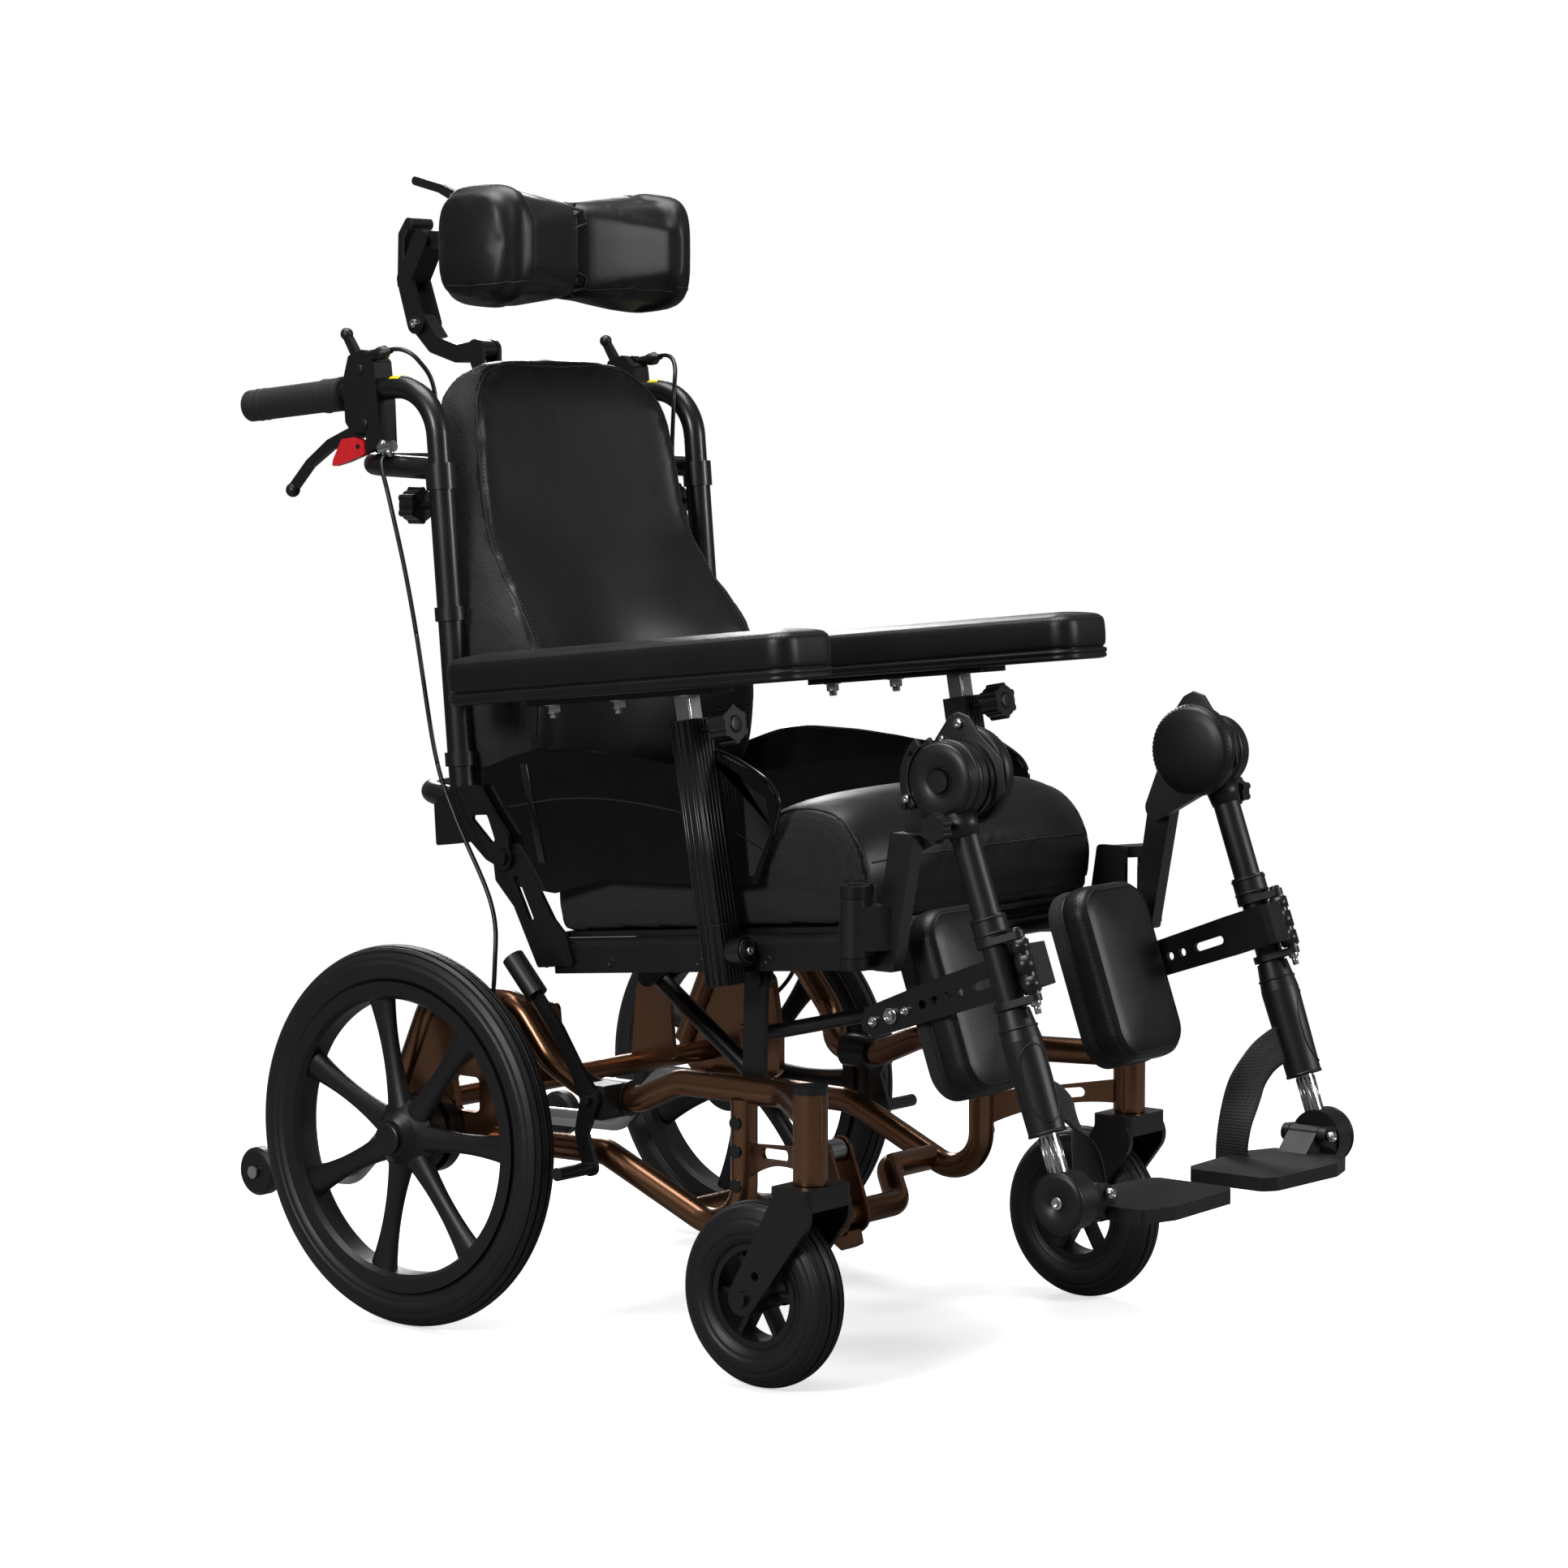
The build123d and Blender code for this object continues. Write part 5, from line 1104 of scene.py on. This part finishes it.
def leg_place(x, down, back=0.0):
    """Point down a leg and behind its axis, in millimetres."""
    return np.array([x, *KNEE], float) + LEG_DOWN * down + LEG_BACK * back


def on_leg(side, start, end, radius, material, sides, back=0.0):
    """Round bar along a leg's axis or behind it, from one distance below the knee to another."""
    return rod(leg_place(side * LEG_X, start, back), leg_place(side * LEG_X, end, back), radius, material, sides)


KNEE_EAR = [(-432, 640), (-404, 664), (-394, 678), (-380, 682), (-368, 676), (-352, 654), (-343, 632), (-346, 600),
            (-372, 577), (-410, 582), (-436, 606)]


def make_knee_latch(side, hand):
    """Ear plate, two curved cheeks with their web, and the pins and bolts that lock the knee's angle."""
    out = (side, 0, 0)
    latch = [
        slab(KNEE_EAR, side * 208.5, side * 212, black_nylon, 1.4),
        bolt((side * 213, -382, 671), out, 5),
        bolt((side * 213, -362, 655), out, 3.4),
        band(40.5, 51, -38, 52, side * 222, side * 227, black_nylon),
        band(40.5, 51, -38, 52, side * 243, side * 248, black_nylon),
        band(40.5, 44, -30, 44, side * 227, side * 243, black_coat, 0.6),
        rod((side * 219, -349, 643), (side * 252, -349, 643), 2.6, black_coat),
        rod((side * 219, -344, 590), (side * 252, -344, 590), 3.2, black_coat),
        bolt((side * 235, -342.5, 622), (0, 1, 0.1), 4.2),
        bolt((side * 249, -346, 598), out, 4.2),
    ]
    riding(f"knee_latch_{hand}", f"legrest_hanger_{hand}", latch)


KNEE_COVER = [(36.5, -3), (37.5, 0), (36, 2.4), (30, 4), (22, 4.4), (19, 3.4), (12, 3.2), (11.5, 1)]
KNEE_RING = [(38.2, -4), (39.6, -3), (39.6, 3), (38.2, 4)]
LEG_COLLARS = ((140, 2.2, 18.4), (155, 2.2, 18.4), (249, 2.0, 19.6), (352, 3.0, 19.2))


def make_leg_cover(side, hand):
    """Stepped cap and ring of the knee, its neck, the collars of the leg's cover and the finger recess."""
    out = (side, 0, 0)
    cover = [
        turned((side * 249, *KNEE), out, KNEE_COVER, black_nylon, 64),
        turned((side * LEG_X, *KNEE), out, KNEE_RING, black_nylon, 64),
        on_leg(side, 34, 58, [18.5, 15.0], black_nylon, 32),
        *(on_leg(side, down, down + long, radius, black_nylon, 40) for down, long, radius in LEG_COLLARS),
        leg_oval(side),
    ]
    riding(f"leg_cover_{hand}", f"leg_tube_{hand}", cover)


def leg_oval(side):
    """Raised rim of the oval finger recess on the outer side of a leg's cover."""
    turn = full_turn(72)
    down = 306 + 38 * np.sign(np.cos(turn)) * np.abs(np.cos(turn)) ** 0.7
    across = 0.9 * np.sin(turn)
    radius = 19.6 - (down - 262) * 0.012
    front = np.array([side * 0.5, 0, 0]) - LEG_BACK * 0.866
    beside = np.array([side * 0.866, 0, 0]) + LEG_BACK * 0.5
    axis = np.array([side * LEG_X, *KNEE]) + np.outer(down, LEG_DOWN)
    ring = axis + radius[:, None] * (np.cos(across)[:, None] * front + np.sin(across)[:, None] * beside)
    return tube("oval", ring * MM, 0.0012, [black_nylon], 8, closed=True)


CALF_HINGE_BACK = -28
CALF_KNUCKLES = ((169.5, 181), (185, 202), (206, 220.5))
CALF_BOLTS = ((207.2, 197, 150, 3.2), (207.2, 197, 168, 6.4), (207.2, 197, 191, 4.0), (203.4, 195, 12, 5.0))


def make_calf_fittings(side, hand):
    """Knuckles, pin head and nut of the calf bracket's hinge, and the bolts along its arm."""
    hinge = [on_leg(side, top, low, 9.6, black_coat, 24, CALF_HINGE_BACK) for top, low in CALF_KNUCKLES]
    hinge += [
        bolt(leg_place(side * LEG_X, 160, CALF_HINGE_BACK), -LEG_DOWN, 5.4, black_coat),
        bolt(leg_place(side * LEG_X, 231, CALF_HINGE_BACK), LEG_DOWN, 5.2),
        on_leg(side, 232, 242, 3.2, zinc, 14, CALF_HINGE_BACK),
    ]
    hinge += [bolt(leg_place(side * x, down, back), (side, 0, 0), radius) for x, down, back, radius in CALF_BOLTS]
    riding(f"calf_bracket_fittings_{hand}", f"calf_support_{hand}", hinge)


FOOT_DISC = [(29.4, -3), (30, -1), (29, 1.4), (24, 2.2), (8, 2.2), (7, 0.4)]
FOOT_WASHER = [(6.4, -1), (6.4, 1.0), (5.6, 1.7), (3, 1.7), (2.4, 0.6)]
FLUTE_REACH = 9.35


def make_foot_fittings(side, hand):
    """Disc, washer and bolt of the footplate's hinge, and the drawn flutes of the extension tube."""
    out = (side, 0, 0)
    disc = leg_place(side * 250, 421)
    foot = [
        turned(disc, out, FOOT_DISC, black_nylon, 56),
        turned(disc + (side * 0.6, 0, 0), out, FOOT_WASHER, zinc, 32),
        bolt((side * 204, disc[1] - 30.2, 227), (0, -1, 0), 5.4),
        on_leg(side, 398, 402, 11.8, black_nylon, 28),
    ]
    riding(f"foot_hinge_cover_{hand}", f"leg_extension_{hand}", foot)
    flutes = []
    for turn in full_turn(12):
        shift = (np.array([math.cos(turn), 0, 0]) + LEG_BACK * math.sin(turn)) * FLUTE_REACH
        flutes.append(rod(leg_place(side * LEG_X, 357) + shift, leg_place(side * LEG_X, 397) + shift, 0.9, chrome, 8))
    riding(f"leg_extension_flutes_{hand}", f"leg_extension_{hand}", flutes)


SOCKET_HALF = 15
SIDE_RIBS = (-12.6, -9.6, -3.6, 3.8, 6.6, 11.4, 13.6)
FRONT_RIBS = (-11, -5.5, 0, 5.5, 11)
SEAM_CORNERS = ((15.6, 15.6), (15.6, -15.6), (-15.6, -15.6), (-15.6, 15.6))
STAR_KNOB_FACE = [(9, -1), (9, 0.8), (7.5, 1.6), (2, 1.6)]
FOOT_KNOB_FACE = [(13, -1), (13, 1.6), (10, 3), (4, 3)]
GUARD_RIVET = [(5, -0.5), (5, 0.5), (3.6, 0.5), (3.4, -0.4)]


def make_socket_ribs(side, hand):
    """Ribs and joint line of the armrest socket, the faces of its knobs, and the rivets of the side guard."""
    ahead = -SOCKET_BACK
    foot = np.array([side * SOCKET_FOOT[0], *SOCKET_FOOT[1:]], float)
    shifts = [(ahead * along + (side * SOCKET_HALF, 0, 0), 1.2) for along in SIDE_RIBS]
    shifts += [(ahead * SOCKET_HALF + (across, 0, 0), 1.1) for across in FRONT_RIBS]
    ribs = [
        rod(foot + SOCKET_UP + shift, foot + SOCKET_UP * 272 + shift, radius, black_anodised, 8)
        for shift, radius in shifts
    ]
    seam = np.array([foot + SOCKET_UP * 62 + (x * side, 0, 0) + ahead * y for x, y in SEAM_CORNERS])
    ribs += [
        tube("joint_line", spline(seam * MM, 60, True), 0.0006, [seam_thread], 6, closed=True),
        turned(foot + SOCKET_UP * 261 + ahead * 59, ahead, STAR_KNOB_FACE, black_nylon, 32),
        turned(foot + SOCKET_UP * 32 + ahead * 33, ahead, FOOT_KNOB_FACE, black_nylon, 40),
        bolt(foot + SOCKET_UP * 32 + ahead * 36, ahead, 4.4),
    ]
    for y, z in ((-60, 412), (60, 402), (150, 394), (-150, 421)):
        ribs.append(turned((side * 220.2, y, z), (side, 0, 0), GUARD_RIVET, black_coat, 24))
    riding(f"socket_ribs_{hand}", "seat", ribs)


GUARD_RIDGE = [(242, 549), (149, 567), (81, 573), (20, 571), (-35, 565), (-96, 552), (-152, 530)]
GUARD_STRIP = [(186, 604), (176, 604), (150, 500), (160, 500)]
GUARD_PANEL = [(-112, 607), (-80, 622), (-146, 586), (-156, 556), (-132, 505), (-112, 505)]
GUARD_RIM = [(-157, 550), (-162, 584), (-141, 607), (-79, 630), (-35, 612), (25, 616), (86, 620), (166, 618),
             (240, 596)]


def guard_line(x, outline, count, radius, sides):
    """Raised line on a side guard, along a smooth curve through points of its side view."""
    curve = spline([(x, *spot) for spot in outline], count)
    return tube("line", curve * MM, radius * MM, [guard_plastic], sides)


def make_guard_details(side, hand):
    """Ridge, strip, front panel and rolled edge of the side guard."""
    details = [
        guard_line(side * 220.3, GUARD_RIDGE, 80, 1.1, 8),
        slab(GUARD_STRIP, side * 219.6, side * 221.4, guard_plastic, 0.5),
        slab(GUARD_PANEL, side * 219.6, side * 221.0, guard_plastic, 0.5),
        guard_line(side * 218, GUARD_RIM, 140, 2.1, 10),
    ]
    riding(f"guard_details_{hand}", "seat", details)


PAD_NUT = [(6.6, -1), (6.6, 0.6), (4.6, 0.8), (4.4, 5.2), (3.6, 6), (1.6, 6)]
PAD_WASHER = [(9.5, -1), (9.5, 0.8), (6, 0.9)]


def make_armrest_bolts(side, hand):
    """Nuts and washers under the armrest pad."""
    bolts = []
    for along in (-62, 30, 120):
        spot = np.array([side * 238, 4, 687], float) + ARM_BACK * along - ARM_UP * 14
        bolts += [turned(spot, -ARM_UP, PAD_NUT, zinc, 24), turned(spot + ARM_UP * 8, -ARM_UP, PAD_WASHER, zinc, 28)]
    riding(f"armrest_bolts_{hand}", f"armrest_{hand}", bolts)


GRIP_RINGS = ((0.03, 18.6), (0.20, 18.6), (0.225, 17.6), (0.86, 17.6), (0.93, 17.6))
GRIP_END = [(17.4, -2), (16.8, 1.2), (13, 3), (6, 3.4)]


def make_grip_rings(side, hand):
    """Moulded rings along the push grip, at shares of its length, and its rounded end."""
    slope = (0, 0.96, -0.10)
    start, run = np.array([side * 215, 442, 995.5]), np.array([0, 143, -12.5])
    rings = [
        turned(start + run * share, slope, [(radius, -0.8), (radius + 0.5, 0), (radius, 0.8)], grip_foam, 40)
        for share, radius in GRIP_RINGS
    ]
    rings.append(turned(start + run * 1.02, slope, GRIP_END, grip_foam, 40))
    riding(f"grip_rings_{hand}", f"push_handle_{hand}", rings)


def make_height_mark(side, hand):
    """Yellow height mark: a thin patch that lies on the handle's tube."""
    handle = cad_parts[f"push_handle_{hand}"]
    spread = np.linspace(-0.8, 0.8, 9)
    loops = []
    for y in np.linspace(0.356, 0.371, 7):
        over = np.column_stack([side * 0.215 + 0.02 * np.sin(spread), np.full(9, y), 1.002 + 0.02 * np.cos(spread)])
        loops.append(np.concatenate([on_surface(handle, over, 0.0003), on_surface(handle, over[::-1], -0.0008)]))
    mark = skin("mark", loops, [mark_yellow], closing=2)
    riding(f"height_mark_{hand}", f"push_handle_{hand}", [mark])


PIVOT_CAP = [(5, -0.5), (5, 1.2), (4, 1.8), (1.5, 1.8)]
CABLE_BOOT = [(6.8, -8), (7.4, -4), (7.4, 2), (5, 5), (3, 9), (2.6, 12)]
CABLE_ADJUSTER = [(5.6, -8), (5.6, -3), (4.4, -2), (4.4, 3), (5.2, 4), (5.2, 8), (3, 13)]


def make_handle_fittings(side, hand):
    """Pivot caps of the two levers, the boot of the upper cable and the screw of the lower one."""
    out = (side, 0, 0)
    joints = [
        turned((side * 229, 408, 1021), out, PIVOT_CAP, black_nylon, 24),
        turned((side * 229, 402, 962), out, PIVOT_CAP, black_nylon, 24),
        turned((side * 225, 376, 1039), (0, -1, 0.15), CABLE_BOOT, black_nylon, 24),
        turned((side * 225, 374, 937), (0, -1, -0.9), CABLE_ADJUSTER, zinc, 24),
    ]
    riding(f"handle_fittings_{hand}", f"push_handle_{hand}", joints)


ELBOW_CAP = [(8.6, -0.8), (8.6, 1), (7.4, 1.6), (5, 1.6)]
CLAMP_CAP = [(7, -16), (7, 1), (5, 1.6)]
HEAD_BLADE = [(540, 1195), (548, 1194), (558, 1180), (560, 1120), (553, 1114), (549, 1122), (548, 1172), (540, 1184)]


def make_head_fittings():
    """Caps on the elbow and the clamp of the headrest's arm, and the blade behind the pad."""
    pieces = []
    for side in (-1, 1):
        out = (side, 0, 0)
        pieces += [
            turned((side * 16, 528, 1077), out, ELBOW_CAP, black_coat, 36),
            bolt((side * 17.2, 528, 1077), out, 5.2),
            turned((side * 16, 536, 1190), out, CLAMP_CAP, black_nylon, 28),
        ]
    pieces.append(slab(HEAD_BLADE, -12, 12, black_nylon, 1.6))
    riding("headrest_arm_fittings", "headrest_upper", pieces)


LEG_FITTINGS = (make_knee_latch, make_leg_cover, make_calf_fittings, make_foot_fittings)
ARM_FITTINGS = (make_socket_ribs, make_guard_details, make_armrest_bolts)
HANDLE_FITTINGS = (make_grip_rings, make_height_mark, make_handle_fittings)
for group in (LEG_FITTINGS, ARM_FITTINGS, HANDLE_FITTINGS):
    for side, hand in SIDES:
        for make in group:
            make(side, hand)
make_head_fittings()
